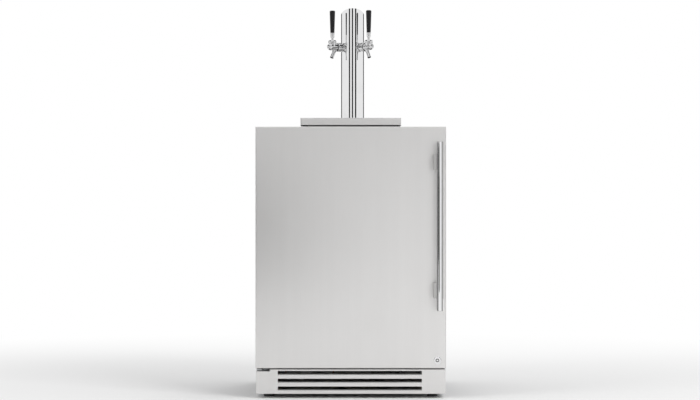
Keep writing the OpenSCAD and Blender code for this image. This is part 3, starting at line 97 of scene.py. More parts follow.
# Cards that only mirrors see: name, azimuth, width in degrees, distance, lower and upper edge, tone.
# Azimuth 0 is behind the camera and 90 to its right. Distances and edges are in metres.
CARDS = [
    ("left tower flag", -30.5, 13, 7.0, 1.2, 2.4, 0.01),
    ("middle tower flag", -0.5, 13, 7.0, 1.2, 2.4, 0.01),
    ("right tower flag", 31, 14, 7.0, 1.2, 2.4, 0.01),
    ("left handle flag", -71.5, 34, 2.6, 0.02, 1.0, 0.06),
    ("right handle flag", 73.8, 34, 2.6, 0.02, 1.0, 0.03),
    ("left rear flag", -148, 30, 7.0, -0.4, 4.5, 0.02),
    ("right rear flag", 148, 30, 7.0, -0.4, 4.5, 0.02),
    ("rear flag", 178, 10, 7.0, -0.4, 4.5, 0.05),
    ("left door card", -21, 28, 2.2, 0.26, 0.75, 0.02),
    ("far left card", -36, 46, 7.4, 0.25, 1.1, 0.2),
    ("high flag", 0, 120, 7.0, 4.2, 5.6, 0.02),
    ("left tap card", -77, 60, 5.0, 2.6, 7.0, 0.02),
    ("right tap card", 77, 60, 5.0, 2.6, 7.0, 0.02),
]


# Settings


def colour(name, description, value):
    return bpy.props.FloatVectorProperty(
        name=name, description=description, default=value, size=3, min=0, max=1, subtype="COLOR"
    )


def amount(name, description, value, low=0.0, high=1.0):
    return bpy.props.FloatProperty(
        name=name, description=description, default=value, min=low, max=high, subtype="FACTOR"
    )


def length(name, description, value, low, high):
    return bpy.props.FloatProperty(
        name=name, description=description, default=value, min=low, max=high, precision=4,
        subtype="DISTANCE", unit="LENGTH",
    )


def power(name, description, value):
    return bpy.props.FloatProperty(
        name=name, description=description, default=value, min=0, max=2000, subtype="POWER", unit="POWER"
    )


class DispenserFinishes(PropertyGroup):
    steel: colour("Brushed steel", "Colour of the door, the toe grille and the tray", (0.84, 0.832, 0.824))
    steel_rough: amount("Steel roughness", "How dull the brushed steel is", 0.34)
    polish: colour("Polished steel", "Colour of the tower, the taps and the handle", (0.8, 0.8, 0.805))
    polish_rough: amount("Polish roughness", "How dull the polished steel is", 0.035)
    wrapper: colour("Cabinet paint", "Colour of the cabinet's outer sheet", (0.035, 0.036, 0.039))
    zinc: colour("Zinc", "Colour of the galvanised frame and panels", (0.56, 0.57, 0.58))
    enamel: colour("Enamel", "Colour of the compressor and the motors", (0.03, 0.031, 0.034))
    foam: colour("Foam", "Colour of the poured insulation", (0.83, 0.72, 0.45))
    liner: colour("Liner", "Colour of the moulded liners", (0.8, 0.8, 0.77))
    seal: colour("Door seal", "Colour of the door gasket", (0.42, 0.42, 0.41))
    plastic: colour("Black plastic", "Colour of the fans, feet and controls", (0.028, 0.028, 0.03))
    grip: colour("Tap grip", "Colour of the tap grips", (0.006, 0.006, 0.007))
    beer_hose: colour("Beer line", "Colour of the beer lines", (0.72, 0.74, 0.71))
    gas_hose: colour("Gas line", "Colour of the gas line", (0.5, 0.035, 0.03))
    copper: colour("Copper", "Colour of the refrigerant lines", (0.72, 0.36, 0.22))
    brass: colour("Brass", "Colour of the valve, regulator and coupler fittings", (0.72, 0.52, 0.22))


class DispenserStage(PropertyGroup):
    distance: length("Camera distance", "From the camera to the door's face", 6.0, 1.0, 20.0)
    height: length("Camera height", "Height of the camera above the floor", 0.585, 0.1, 3.0)
    picture_width: length("Picture width", "Width of the picture at the door's face", 2.226, 0.5, 10.0)
    horizon: bpy.props.FloatProperty(
        name="Horizon shift", description="Rise of the picture over the horizon, in picture widths",
        default=0.0213, min=-0.2, max=0.2,
    )
    floor: colour("Floor", "Colour of the floor", (0.86, 0.86, 0.86))
    room: amount("Room light", "Strength of the even light from all round", 0.62, 0.0, 2.0)
    key: power("Key lamp", "Power of the large lamp at the upper right", 95.0)
    fill: power("Fill lamp", "Power of the soft lamps at the left and at the back", 45.0)


# Shader pieces


def fresh_tree(owner):
    """The node tree of a material or a world, emptied."""
    owner.use_nodes = True
    owner.node_tree.nodes.clear()
    return owner.node_tree


def new_node(tree, kind):
    """Adds a node to the right of the last one."""
    spacing = 200
    made = tree.nodes.new(kind)
    made.location.x = spacing * len(tree.nodes)
    return made


def add(tree, kind, inputs=None, **settings):
    """Adds a shader node. An input that is given a socket is linked to it, and any other is set."""
    made = new_node(tree, "ShaderNode" + kind)
    for key, value in settings.items():
        setattr(made, key, value)
    for key, value in (inputs or {}).items():
        if isinstance(value, bpy.types.NodeSocket):
            tree.links.new(value, made.inputs[key])
        else:
            made.inputs[key].default_value = value
    return made


def maths(tree, operation, first, second, clamp=False):
    return add(tree, "Math", {0: first, 1: second}, operation=operation, use_clamp=clamp).outputs[0]


def noise(tree, place, scale, **shape):
    return add(tree, "TexNoise", {"Vector": place, "Scale": scale, **shape}).outputs[0]


def smooth_step(tree, value, low, high):
    """Runs smoothly from 0 to 1 as a value goes from low to high."""
    inputs = {"Value": value, "From Min": low, "From Max": high}
    return add(tree, "MapRange", inputs, interpolation_type="SMOOTHSTEP").outputs[0]


def brushed_lines(group, into):
    """Fine parallel scratches along Z, with broad bands where the belt pressed harder."""
    squeeze = add(group, "CombineXYZ", {"X": 1.0, "Y": 1.0, "Z": into["Stretch"]}).outputs[0]
    place = add(group, "VectorMath", {0: into["Vector"], 1: squeeze}, operation="MULTIPLY").outputs[0]
    return {
        "Lines": noise(group, place, into["Fineness"], Detail=4.0, Roughness=0.65),
        "Bands": noise(group, place, 34.0, Detail=2.0),
    }


def smudges(group, into):
    """Soft cloudy patches, as hands and cloths leave."""
    softness = 0.16
    cloud = noise(group, into["Vector"], into["Size"], Detail=5.0, Roughness=0.6, Distortion=0.6)
    inner_edge = maths(group, "ADD", into["Edge"], softness)
    return {"Mask": smooth_step(group, cloud, into["Edge"], inner_edge)}


def settled_dust(group, into):
    """Fine dust that has settled on faces that look up."""
    facing = add(group, "NewGeometry").outputs["Normal"]
    upward = smooth_step(group, add(group, "SeparateXYZ", {0: facing}).outputs["Z"], 0.55, 1.0)
    patch = maths(group, "MULTIPLY", upward, noise(group, into["Vector"], 60.0, Detail=6.0, Roughness=0.7))
    return {"Mask": maths(group, "MULTIPLY", patch, into["Amount"], clamp=True)}


def flakes(group, into):
    """Irregular flat cells, for zinc flowers, foam cells and orange peel."""
    cell = add(group, "TexVoronoi", {"Vector": into["Vector"], "Scale": into["Size"]}, feature="F1")
    tone = add(group, "SeparateColor", {0: cell.outputs["Color"]}).outputs[0]
    return {"Tone": tone, "Depth": cell.outputs["Distance"]}


def moulded_grain(group, into):
    """The fine spark-eroded grain of a mould, or the pores of rubber."""
    return {
        "Grain": noise(group, into["Vector"], into["Fineness"], Detail=3.0, Roughness=0.6),
        "Flow": noise(group, into["Vector"], 9.0, Detail=3.0, Distortion=1.2),
    }


# Each pattern's name in Blender, its inputs besides the place, and the function that fills it
PATTERNS = {
    "brushed": ("Brushed lines", {"Fineness": 900.0, "Stretch": 0.012}, brushed_lines),
    "smudge": ("Smudges", {"Size": 6.0, "Edge": 0.52}, smudges),
    "dust": ("Settled dust", {"Amount": 0.4}, settled_dust),
    "flake": ("Flakes", {"Size": 60.0}, flakes),
    "grain": ("Moulded grain", {"Fineness": 700.0}, moulded_grain),
}
GROUPS = {}


def pattern(name):
    """The node group of a pattern, made once."""
    if name in GROUPS:
        return GROUPS[name]
    label, values, fill = PATTERNS[name]
    group = bpy.data.node_groups.new(label, "ShaderNodeTree")
    new_socket = group.interface.new_socket
    new_socket(name="Vector", in_out="INPUT", socket_type="NodeSocketVector")
    for key, value in values.items():
        new_socket(name=key, in_out="INPUT", socket_type="NodeSocketFloat").default_value = value
    masks = fill(group, new_node(group, "NodeGroupInput").outputs)
    for key in masks:
        new_socket(name=key, in_out="OUTPUT", socket_type="NodeSocketFloat")
    out = new_node(group, "NodeGroupOutput")
    for key, mask in masks.items():
        group.links.new(mask, out.inputs[key])
    GROUPS[name] = group
    return group


def toned(rgb, factor):
    return tuple(min(1.0, part * factor) for part in rgb)


def shade(rgb, factor=1.0):
    return toned(rgb, factor) + (1.0,)


class Finish:
    """One material being laid out: a plain colour, and the chain of masks that works on it."""

    def __init__(self, name, rgb, turn=(0, 0, 0), **values):
        self.material = bpy.data.materials.new(name)
        self.tree = fresh_tree(self.material)
        self.rgb = rgb
        self.inputs = {key.replace("_", " "): value for key, value in values.items()}
        self.inputs["Base Color"] = shade(rgb)
        where = add(self.tree, "TexCoord").outputs["Object"]
        self.place = add(self.tree, "Mapping", {"Vector": where, "Rotation": turn}).outputs[0]

    def group(self, name, **values):
        """Places a pattern's group and gives its outputs."""
        inputs = {key.capitalize(): value for key, value in values.items()}
        made = add(self.tree, "Group", {"Vector": self.place, **inputs}, node_tree=pattern(name))
        made.label = made.node_tree.name
        return made.outputs

    def mix(self, mask, under, over):
        # The Mix node has a socket of the same name for each of its data types, so these go by number
        first_colour, second_colour, mixed_colour = 6, 7, 2
        inputs = {"Factor": mask, first_colour: under, second_colour: over}
        made = add(self.tree, "Mix", inputs, data_type="RGBA", clamp_factor=True)
        self.inputs["Base Color"] = made.outputs[mixed_colour]

    def vary(self, mask, low, high):
        """Runs between two tones of the plain colour by a mask."""
        self.mix(mask, shade(self.rgb, low), shade(self.rgb, high))

    def lay(self, mask, over, strength=1.0):
        """Lays a colour over the chain so far, where the mask is."""
        if strength != 1.0:
            mask = maths(self.tree, "MULTIPLY", mask, strength, clamp=True)
        self.mix(mask, self.inputs["Base Color"], over)

    def dull(self, mask, low, high):
        """Runs the roughness from low to high as the mask goes from 0 to 1, over what is there."""
        rough = add(self.tree, "MapRange", {"Value": mask, "To Min": low, "To Max": high}).outputs[0]
        if "Roughness" in self.inputs:
            rough = maths(self.tree, "MAXIMUM", self.inputs["Roughness"], rough)
        self.inputs["Roughness"] = rough

    def raise_by(self, height, strength, distance):
        inputs = {"Height": height, "Strength": strength, "Distance": distance}
        self.inputs["Normal"] = add(self.tree, "Bump", inputs).outputs[0]

    def done(self):
        shader = add(self.tree, "BsdfPrincipled", self.inputs)
        add(self.tree, "OutputMaterial", {"Surface": shader.outputs[0]})
        return self.material


def brushed_steel(name, rgb, rough, turn=(0, 0, 0)):
    made = Finish(name, rgb, turn, Metallic=1.0, Anisotropic=0.35)
    lines = made.group("brushed")
    marks = made.group("smudge", size=3.4, edge=0.5)
    made.vary(lines["Bands"], 0.975, 1.02)
    made.lay(lines["Lines"], shade(rgb, 0.82), 0.3)
    made.dull(lines["Lines"], rough - 0.07, rough + 0.09)
    made.dull(marks["Mask"], 0.0, rough + 0.05)
    made.raise_by(lines["Lines"], 0.10, 0.00012)
    return made.done()


def polished_steel(name, rgb, rough):
    made = Finish(name, rgb, Metallic=1.0)
    marks = made.group("smudge", size=17.0, edge=0.5)
    made.vary(marks["Mask"], 1.0, 0.97)
    made.dull(marks["Mask"], rough, rough + 0.02)
    return made.done()


def zinc_sheet(name, rgb):
    made = Finish(name, rgb, Metallic=0.85)
    flowers = made.group("flake", size=150.0)
    dust = made.group("dust", amount=0.7)
    made.vary(flowers["Tone"], 0.94, 1.05)
    made.lay(dust["Mask"], (0.5, 0.48, 0.45, 1.0))
    made.dull(flowers["Tone"], 0.42, 0.5)
    made.dull(dust["Mask"], 0.0, 0.9)
    made.raise_by(flowers["Depth"], 0.05, 0.0002)
    return made.done()


def painted_metal(name, rgb, rough=0.42, peel=0.16):
    made = Finish(name, rgb, Specular_IOR_Level=0.5, Coat_Weight=0.12, Coat_Roughness=0.3)
    peel_cells = made.group("flake", size=520.0)
    marks = made.group("smudge", size=7.0, edge=0.54)
    dust = made.group("dust", amount=0.5)
    made.vary(marks["Mask"], 1.0, 1.12)
    made.lay(dust["Mask"], (0.34, 0.33, 0.31, 1.0), 0.35)
    made.dull(marks["Mask"], rough, rough + 0.06)
    made.raise_by(peel_cells["Depth"], peel, 0.0004)
    return made.done()


def poured_foam(name, rgb):
    made = Finish(name, rgb, Specular_IOR_Level=0.2)
    cells = made.group("flake", size=380.0)
    flow = made.group("grain", fineness=260.0)
    made.vary(flow["Flow"], 0.84, 1.1)
    made.lay(cells["Tone"], shade(rgb, 0.7), 0.35)
    made.dull(cells["Tone"], 0.8, 0.96)
    made.raise_by(cells["Depth"], 0.5, 0.0012)
    return made.done()


def moulded(name, rgb, rough, grain, fineness, specular=0.5):
    made = Finish(name, rgb, Specular_IOR_Level=specular)
    skin = made.group("grain", fineness=fineness)
    marks = made.group("smudge", size=8.0, edge=0.55)
    made.vary(skin["Flow"], 0.97, 1.03)
    made.lay(marks["Mask"], shade(rgb, 0.93), 0.3)
    made.dull(skin["Grain"], rough - 0.05, rough + 0.07)
    made.dull(marks["Mask"], 0.0, rough + 0.1)
    made.raise_by(skin["Grain"], grain, 0.0002)
    return made.done()


def hose_wall(name, rgb, clear=0.0):
    made = Finish(name, rgb, Specular_IOR_Level=0.5, Transmission_Weight=clear, IOR=1.45)
    skin = made.group("grain", fineness=420.0)
    marks = made.group("smudge", size=30.0, edge=0.5)
    made.vary(skin["Flow"], 0.9, 1.08)
    made.lay(marks["Mask"], shade(rgb, 0.8), 0.4)
    made.dull(skin["Grain"], 0.24, 0.4)
    made.raise_by(skin["Grain"], 0.05, 0.0002)
    return made.done()


def warm_metal(name, rgb, brown):
    """Copper and brass, browned in patches by air and hands."""
    rough = 0.24
    made = Finish(name, rgb, Metallic=1.0)
    patches = made.group("smudge", size=26.0, edge=0.46)
    lines = made.group("brushed", fineness=1100.0, stretch=0.2)
    made.lay(patches["Mask"], shade(brown), 0.6)
    made.dull(lines["Lines"], rough - 0.06, rough + 0.1)
    made.dull(patches["Mask"], 0.0, rough + 0.14)
    made.raise_by(lines["Lines"], 0.06, 0.0001)
    return made.done()


def coil_fins(name, rgb):
    made = Finish(name, rgb, Metallic=0.9)
    lines = made.group("brushed", fineness=800.0, stretch=0.05)
    dust = made.group("dust", amount=0.9)
    made.vary(lines["Bands"], 0.85, 1.08)
    made.lay(dust["Mask"], (0.42, 0.4, 0.37, 1.0))
    made.dull(lines["Lines"], 0.3, 0.46)
    made.raise_by(lines["Lines"], 0.1, 0.0001)
    return made.done()


def clear_glass(name, rgb):
    made = Finish(name, rgb, Transmission_Weight=1.0, IOR=1.45)
    marks = made.group("smudge", size=60.0, edge=0.56)
    made.dull(marks["Mask"], 0.01, 0.09)
    return made.done()


MATERIALS = {}


def finish_of(name):
    """The material of that name, made once from the panel's colours."""
    pick = bpy.context.scene.dispenser_finishes
    recipes = {
        "brushed steel": (brushed_steel, pick.steel, pick.steel_rough),
        "brushed steel across": (brushed_steel, pick.steel, pick.steel_rough, ACROSS),
        # Brushed steel painted darker as painted shade, for the handle brackets recessed behind the tube and
        # for the lining of the hinge pocket
        "bracket steel": (brushed_steel, toned(pick.steel, 0.62), 0.3, ACROSS),
        "shaded steel": (brushed_steel, toned(pick.steel, 0.5), 0.42, ACROSS),
        "cylinder metal": (brushed_steel, (0.68, 0.69, 0.7), 0.32, (RIGHT_ANGLE, 0, 0)),
        "polished steel": (polished_steel, pick.polish, pick.polish_rough),
        # The taps' plating is the polish painted darker, as painted shade for the darker surroundings that
        # the taps reflect
        "tap plating": (polished_steel, toned(pick.polish, 0.86), 0.035),
        "zinc sheet": (zinc_sheet, pick.zinc),
        "cabinet paint": (painted_metal, pick.wrapper),
        "black enamel": (painted_metal, pick.enamel, 0.3, 0.1),
        "poured foam": (poured_foam, pick.foam),
        "liner plastic": (moulded, pick.liner, 0.34, 0.06, 500.0),
        "black plastic": (moulded, pick.plastic, 0.46, 0.22, 650.0),
        "bush nylon": (moulded, (0.09, 0.09, 0.09), 0.5, 0.15, 600.0),
        "dial card": (moulded, (0.86, 0.86, 0.84), 0.5, 0.02, 500.0),
        "grip gloss": (moulded, pick.grip, 0.26, 0.0, 400.0, 0.28),
        "seal rubber": (moulded, pick.seal, 0.62, 0.2, 900.0, 0.35),
        "seal rubber dark": (moulded, (0.022, 0.022, 0.023), 0.6, 0.2, 900.0, 0.35),
        "coil fins": (coil_fins, (0.74, 0.75, 0.76)),
        "copper": (warm_metal, pick.copper, (0.25, 0.11, 0.06)),
        "brass": (warm_metal, pick.brass, (0.36, 0.22, 0.08)),
        "beer hose": (hose_wall, pick.beer_hose, 0.35),
        "gas hose": (hose_wall, pick.gas_hose),
        "gauge glass": (clear_glass, (1.0, 1.0, 1.0)),
    }
    if name not in MATERIALS:
        maker, *values = recipes[name]
        MATERIALS[name] = maker(name, *values)
    return MATERIALS[name]


def clothe(finish, *nodes):
    """Gives CAD parts their finish, in their own material slots."""
    material = finish_of(finish)
    for node in nodes:
        part = NODES[node]
        if not part.material_slots:
            part.data.materials.append(material)
        for slot in part.material_slots:
            slot.material = material


# Places in millimetres


def box_mm(node):
    """A node's lowest and highest corners at rest."""
    return [corner * 1000 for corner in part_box(node)]


def joint_mm(name):
    return Vector(next(joint["pos_m"] for joint in frame["joints"] if joint["name"] == name)) * 1000


def shift(x, y, z):
    """A move to a place."""
    return Matrix.Translation(Vector((x, y, z)) * MM)


def aimed(place, axis):
    """Stands a piece's own Z along an axis, at a place."""
    return shift(*place) @ Vector(axis).to_track_quat("Z", "Y").to_matrix().to_4x4()


def facing_front(x, y, z):
    """Turns a piece drawn in its own X-Y plane to face the front, at a place."""
    return shift(x, y, z) @ Matrix.Rotation(RIGHT_ANGLE, 4, "X")


def spun(degrees):
    """A turn about a piece's own Z."""
    return Matrix.Rotation(math.radians(degrees), 4, "Z")


def tap_frames():
    """The two taps' own frames: X straight out of the tower at the height of the shanks."""
    low, high = box_mm("tower_cap")
    middle = (low + high) / 2
    frames = []
    for side in ("left", "right"):
        pivot = joint_mm(f"{side}_lever_tilt")
        turn = math.atan2(pivot.y - middle.y, pivot.x - middle.x)
        place = shift(middle.x, middle.y, pivot.z - PIVOT_RISE)
        frames.append((side, place @ Matrix.Rotation(turn, 4, "Z")))
    return frames


# Mesh helpers, which take millimetres


def new_object(name, data):
    made = bpy.data.objects.new(name, data)
    bpy.context.scene.collection.objects.link(made)
    return made


def mesh_object(name, shape, material):
    """Makes an object from a bmesh, which it uses up."""
    mesh = bpy.data.meshes.new(name)
    shape.to_mesh(mesh)
    shape.free()
    mesh.materials.append(material)
    return new_object(name, mesh)


def new_piece(name, body, finish, slot, shape, smooth=40):
    """Makes one piece from a bmesh, shades it, and hangs it on its body."""
    if not shape.faces:
        raise RuntimeError(f"{name} has no faces")
    bmesh.ops.remove_doubles(shape, verts=shape.verts, dist=1e-6)
    bmesh.ops.recalc_face_normals(shape, faces=shape.faces)
    piece = mesh_object(name, shape, finish_of(finish))
    for face in piece.data.polygons:
        face.use_smooth = True
    piece.data.set_sharp_from_angle(angle=math.radians(smooth))
    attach(piece, body)
    return piece


def carry(shape, before, matrix):
    """Moves the vertices that weren't there before."""
    fresh = [vert for vert in shape.verts if vert not in before]
    bmesh.ops.transform(shape, matrix=matrix, verts=fresh)


def turned(shape, profile, place, axis=(0, 0, 1), steps=40, matrix=STILL):
    """Spins a profile of (radius, height) points about an axis through place, then moves it by matrix.

    A profile that starts off the axis is closed into a ring.
    """
    before = set(shape.verts)
    corners = [shape.verts.new((radius * MM, 0, height * MM)) for radius, height in profile]
    edges = [shape.edges.new(pair) for pair in zip(corners, corners[1:])]
    first_radius = profile[0][0]
    if first_radius > 0:
        edges.append(shape.edges.new((corners[-1], corners[0])))
    bmesh.ops.spin(
        shape, geom=corners + edges, cent=(0, 0, 0), axis=(0, 0, 1), dvec=(0, 0, 0),
        angle=2 * math.pi, steps=steps, use_merge=True, use_duplicate=False,
    )
    carry(shape, before, matrix @ aimed(place, axis))


def bead(radius, round_r, height=0.0):
    """A round section for turned()."""
    sides = 8
    angles = [2 * math.pi * side / sides for side in range(sides)]
    return [(radius + round_r * math.cos(a), height + round_r * math.sin(a)) for a in angles]


def swept(shape, profile, x1, x2, matrix=STILL):
    """Runs a closed profile of (y, z) points along X."""
    before = set(shape.verts)
    face = shape.faces.new([shape.verts.new((x1 * MM, y * MM, z * MM)) for y, z in profile])
    made = bmesh.ops.extrude_face_region(shape, geom=[face])
    far = [item for item in made["geom"] if isinstance(item, bmesh.types.BMVert)]
    bmesh.ops.translate(shape, vec=((x2 - x1) * MM, 0, 0), verts=far)
    carry(shape, before, matrix)


def block(shape, low, high, round_r, matrix=STILL):
    """A box between two corners with rounded edges."""
    before = set(shape.verts)
    low, high = Vector(low) * MM, Vector(high) * MM
    place = Matrix.Translation((low + high) / 2) @ Matrix.Diagonal(high - low).to_4x4()
    made = bmesh.ops.create_cube(shape, size=1.0, matrix=place)
    edges = list({edge for vert in made["verts"] for edge in vert.link_edges})
    bmesh.ops.bevel(
        shape, geom=edges, offset=round_r * MM, segments=2, profile=0.5, affect="EDGES", material=-1,
    )
    carry(shape, before, matrix)


def rounded_route(corners, radii):
    """The points of a route whose inner corners turn on arcs of these radii."""
    steps = 10
    points = [Vector(corner) for corner in corners]
    route = [points[0]]
    for before, corner, after, radius in zip(points, points[1:], points[2:], radii):
        into, out = (corner - before).normalized(), (after - corner).normalized()
        turn = into.angle(out)
        middle = corner + (out - into).normalized() * radius / math.cos(turn / 2)
        spoke = corner - into * radius * math.tan(turn / 2) - middle
        axis = into.cross(out).normalized()
        for step in range(steps + 1):
            route.append(middle + Quaternion(axis, turn * step / steps) @ spoke)
    return route + [points[-1]]


def tube(shape, route, radius):
    """A round tube along a route, closed at both ends."""
    sides = 18
    legs = [(b - a).normalized() for a, b in zip(route, route[1:])]
    headings = [legs[0]] + [(a + b).normalized() for a, b in zip(legs, legs[1:])] + [legs[-1]]
    side = headings[0].orthogonal().normalized()
    rings = []
    for index, (point, heading) in enumerate(zip(route, headings)):
        side = headings[max(index - 1, 0)].rotation_difference(heading) @ side
        up = heading.cross(side)
        angles = [2 * math.pi * step / sides for step in range(sides)]
        spots = [point + (side * math.cos(a) + up * math.sin(a)) * radius for a in angles]
        rings.append([shape.verts.new(spot * MM) for spot in spots])
    for ring, following in zip(rings, rings[1:]):
        for step in range(sides):
            after = (step + 1) % sides
            shape.faces.new((ring[step], ring[after], following[after], following[step]))
    shape.faces.new(rings[0][::-1])
    shape.faces.new(rings[-1])


def frame_strip(shape, width, depth, matrix, corner, strip, height, round_r):
    """A flat frame with round corners, strip wide, that stands height over its plane."""
    soft = 0.3 * round_r
    section = [
        (0, 0), (0, height - round_r), (soft, height - soft), (round_r, height), (strip - round_r, height),
        (strip - soft, height - soft), (strip, height - round_r), (strip, 0),
    ]
    arc_steps = 7
    rings = []
    for quarter, (side, end) in enumerate([(1, 1), (-1, 1), (-1, -1), (1, -1)]):
        for step in range(arc_steps + 1):
            angle = RIGHT_ANGLE * (quarter + step / arc_steps)
            out = Vector((math.cos(angle), math.sin(angle), 0))
            middle = Vector((side * (width / 2 - corner), end * (depth / 2 - corner), 0))
            places = [middle + out * (corner - inward) + Vector((0, 0, up)) for inward, up in section]
            rings.append([shape.verts.new(matrix @ (place * MM)) for place in places])
    for ring, following in zip(rings, rings[1:] + rings[:1]):
        for spot in range(len(section)):
            after = (spot + 1) % len(section)
            shape.faces.new((ring[spot], following[spot], following[after], ring[after]))


# Fittings


class AddLockRing(Operator):
    """Add the dust ring round the lock's plug, and a black ring on the plug's face as painted shadow of the
    gap round the plug
    """

    bl_idname = "dispenser.add_lock_ring"
    bl_label = "Lock ring"

    def execute(self, context):
        dust_ring = [(5.7, -0.2), (5.7, 0.3), (6.0, 0.55), (7.0, 0.55), (7.5, 0.3), (7.5, -0.2)]
        # A black ring on the plug's face, painted as the shadow in the gap between the plug and the barrel
        gap_shadow_ring = [(3.2, -0.1), (3.2, 0.2), (3.5, 0.4), (5.0, 0.4), (5.35, 0.2), (5.35, -0.1)]
        axis = joint_mm("lock_turn")
        for profile, node, *looks in (
            (dust_ring, "lock_barrel", "lock_dust_ring", "door", "brushed steel", "stainless"),
            (gap_shadow_ring, "lock_plug", "lock_face_ring", "lock", "grip gloss", "black_plastic"),
        ):
            shape = bmesh.new()
            turned(shape, profile, (axis.x, box_mm(node)[0].y, axis.z), TO_FRONT, 48)
            new_piece(*looks, shape)
        return {"FINISHED"}


class AddGrilleLips(Operator):
    """Add the rolled lips of the toe grille's slots"""

    bl_idname = "dispenser.add_grille_lips"
    bl_label = "Grille lips"

    def execute(self, context):
        first_slot, slot_pitch, slot_half = 17.4, 24.8, 6.5
        left, right, bead_over = -232.0, 226.0, 0.4
        roll = [
            (1.3, -0.4), (0.5, -0.4), (0.4, 0.6), (0.8, 1.4), (1.6, 2.3), (2.8, 3.2), (4.4, 4.0), (6.4, 4.8),
            (8.8, 5.5), (8.8, 4.9), (6.6, 4.2), (4.7, 3.4), (3.2, 2.5), (2.1, 1.5), (1.5, 0.6),
        ]
        low = box_mm("toe_grille")[0]
        lips, beads = bmesh.new(), bmesh.new()
        for row in range(3):
            middle = low.z + first_slot + row * slot_pitch
            edge = middle - slot_half
            swept(lips, [(low.y + y, edge + z) for y, z in roll], left, right)
            for z, lift in ((edge - 0.7, 0.5), (middle + 6.9, 0.45)):
                half = [(-0.3, -0.8), (lift * 0.6, -0.5), (lift, 0), (lift * 0.6, 0.5), (-0.3, 0.8)]
                section = [(low.y - out, z + up) for out, up in half]
                swept(beads, section, left - bead_over, right + bead_over)
        new_piece("grille_slot_lips", "cabinet", "shaded steel", "stainless", lips, 60)
        new_piece("grille_slot_beads", "cabinet", "polished steel", "stainless", beads, 60)
        return {"FINISHED"}


class AddTowerTrim(Operator):
    """Add the tower's foot seal and weld, and the seals between the taps' nuts and bodies"""

    bl_idname = "dispenser.add_tower_trim"
    bl_label = "Tower trim"

    def execute(self, context):
        nut_end = 66.4
        low, high = box_mm("tower_column")
        foot = ((low.x + high.x) / 2, (low.y + high.y) / 2, low.z)
        seals, weld = bmesh.new(), bmesh.new()
        turned(seals, [(56.4, 0.0), (57.6, 0.0), (58.0, 0.5), (57.6, 1.1), (56.4, 1.1)], foot, steps=96)
        for _, place in tap_frames():
            turned(seals, bead(12.3, 0.75, nut_end), (0, 0, 0), (1, 0, 0), matrix=place)
        fillet = [(37.9, 4.9), (40.6, 4.9), (39.7, 5.3), (38.9, 6.1), (38.3, 7.2), (37.9, 7.4)]
        turned(weld, fillet, foot, steps=96)
        new_piece("tower_seals", "cabinet", "seal rubber dark", "seal", seals, 60)
        new_piece("tower_foot_weld", "cabinet", "polished steel", "polished_steel", weld, 80)
        return {"FINISHED"}


class AddGripCollars(Operator):
    """Add the collar and the bead under each tap grip"""

    bl_idname = "dispenser.add_grip_collars"
    bl_label = "Grip collars"

    def execute(self, context):
        reach, over_pivot = 85, 32
        grip_foot = (reach, 0, PIVOT_RISE + over_pivot)
        collar = [(5.9, -1.3), (6.9, -1.3), (7.3, -0.9), (7.3, -0.2), (6.9, 0.1), (5.9, 0.1)]
        ring = [(5.9, -5.6), (6.75, -5.6), (6.95, -5.2), (6.75, -4.8), (5.9, -4.8)]
        for side, place in tap_frames():
            shape = bmesh.new()
            for profile in (collar, ring):
                turned(shape, profile, grip_foot, steps=36, matrix=place)
            # The collars take the tap plating painted darker, as painted shade
            new_piece(f"grip_collar_{side}", f"lever_{side}", "tap plating", "polished_steel", shape)
        return {"FINISHED"}


class AddGaugeFaces(Operator):
    """Add the gauges' white faces, marks, needles and glasses"""

    bl_idname = "dispenser.add_gauge_faces"
    bl_label = "Gauge faces"

    def execute(self, context):
        gauge_radius, face_depth = 17.5, 1.74
        mark_count, mark_step = 27, 10
        disc = [(0, -1.9), (15.3, -1.9), (15.3, -1.75), (0, -1.75)]
        glass = [(0, -0.1), (9, -0.2), (15.2, -0.6), (15.2, -0.8), (9, -0.4), (0, -0.3)]
        low, high = box_mm("pressure_gauges")
        middle_z = (low.z + high.z) / 2
        dials, marks, needles, glasses = bmesh.new(), bmesh.new(), bmesh.new(), bmesh.new()
        for x, aim in ((low.x + gauge_radius, -40), (high.x - gauge_radius, 40)):
            turned(dials, disc, (x, low.y, middle_z), TO_FRONT)
            turned(glasses, glass, (x, low.y, middle_z), TO_FRONT)
            centre = facing_front(x, low.y + face_depth, middle_z)
            for step in range(mark_count):
                inner = 12.2 if step % 3 else 11.0
                spin = spun((step - mark_count // 2) * mark_step)
                block(marks, (-0.17, inner, 0.0), (0.17, 14.0, 0.12), 0.04, centre @ spin)
            block(needles, (-0.45, -3.2, 0.05), (0.45, 12.2, 0.5), 0.1, centre @ spun(aim))
        new_piece("gauge_dials", "cabinet", "dial card", "liner", dials)
        new_piece("gauge_marks", "cabinet", "black plastic", "black_plastic", marks)
        new_piece("gauge_needles", "cabinet", "gas hose", "gas_hose", needles)
        new_piece("gauge_glasses", "cabinet", "gauge glass", "hose", glasses, 60)
        return {"FINISHED"}


class AddDialMarks(Operator):
    """Add the marks round the thermostat dial and the line on it"""

    bl_idname = "dispenser.add_dial_marks"
    bl_label = "Dial marks"

    def execute(self, context):
        first_mark, mark_step, mark_count = -135, 27, 11
        axis = joint_mm("dial_turn")
        wall = box_mm("control_housing")[0].y
        face = box_mm("thermostat_dial")[0].y
        marks, pointer = bmesh.new(), bmesh.new()
        for step in range(mark_count):
            place = facing_front(axis.x, wall, axis.z) @ spun(first_mark + mark_step * step)
            block(marks, (-0.3, 12.6, -0.1), (0.3, 14.4, 0.18), 0.07, place)
        block(pointer, (-0.5, 2.4, -0.7), (0.5, 9.7, -0.15), 0.15, facing_front(axis.x, face, axis.z))
        new_piece("dial_scale", "cabinet", "black plastic", "black_plastic", marks)
        new_piece("dial_pointer", "dial", "dial card", "liner", pointer)
        return {"FINISHED"}


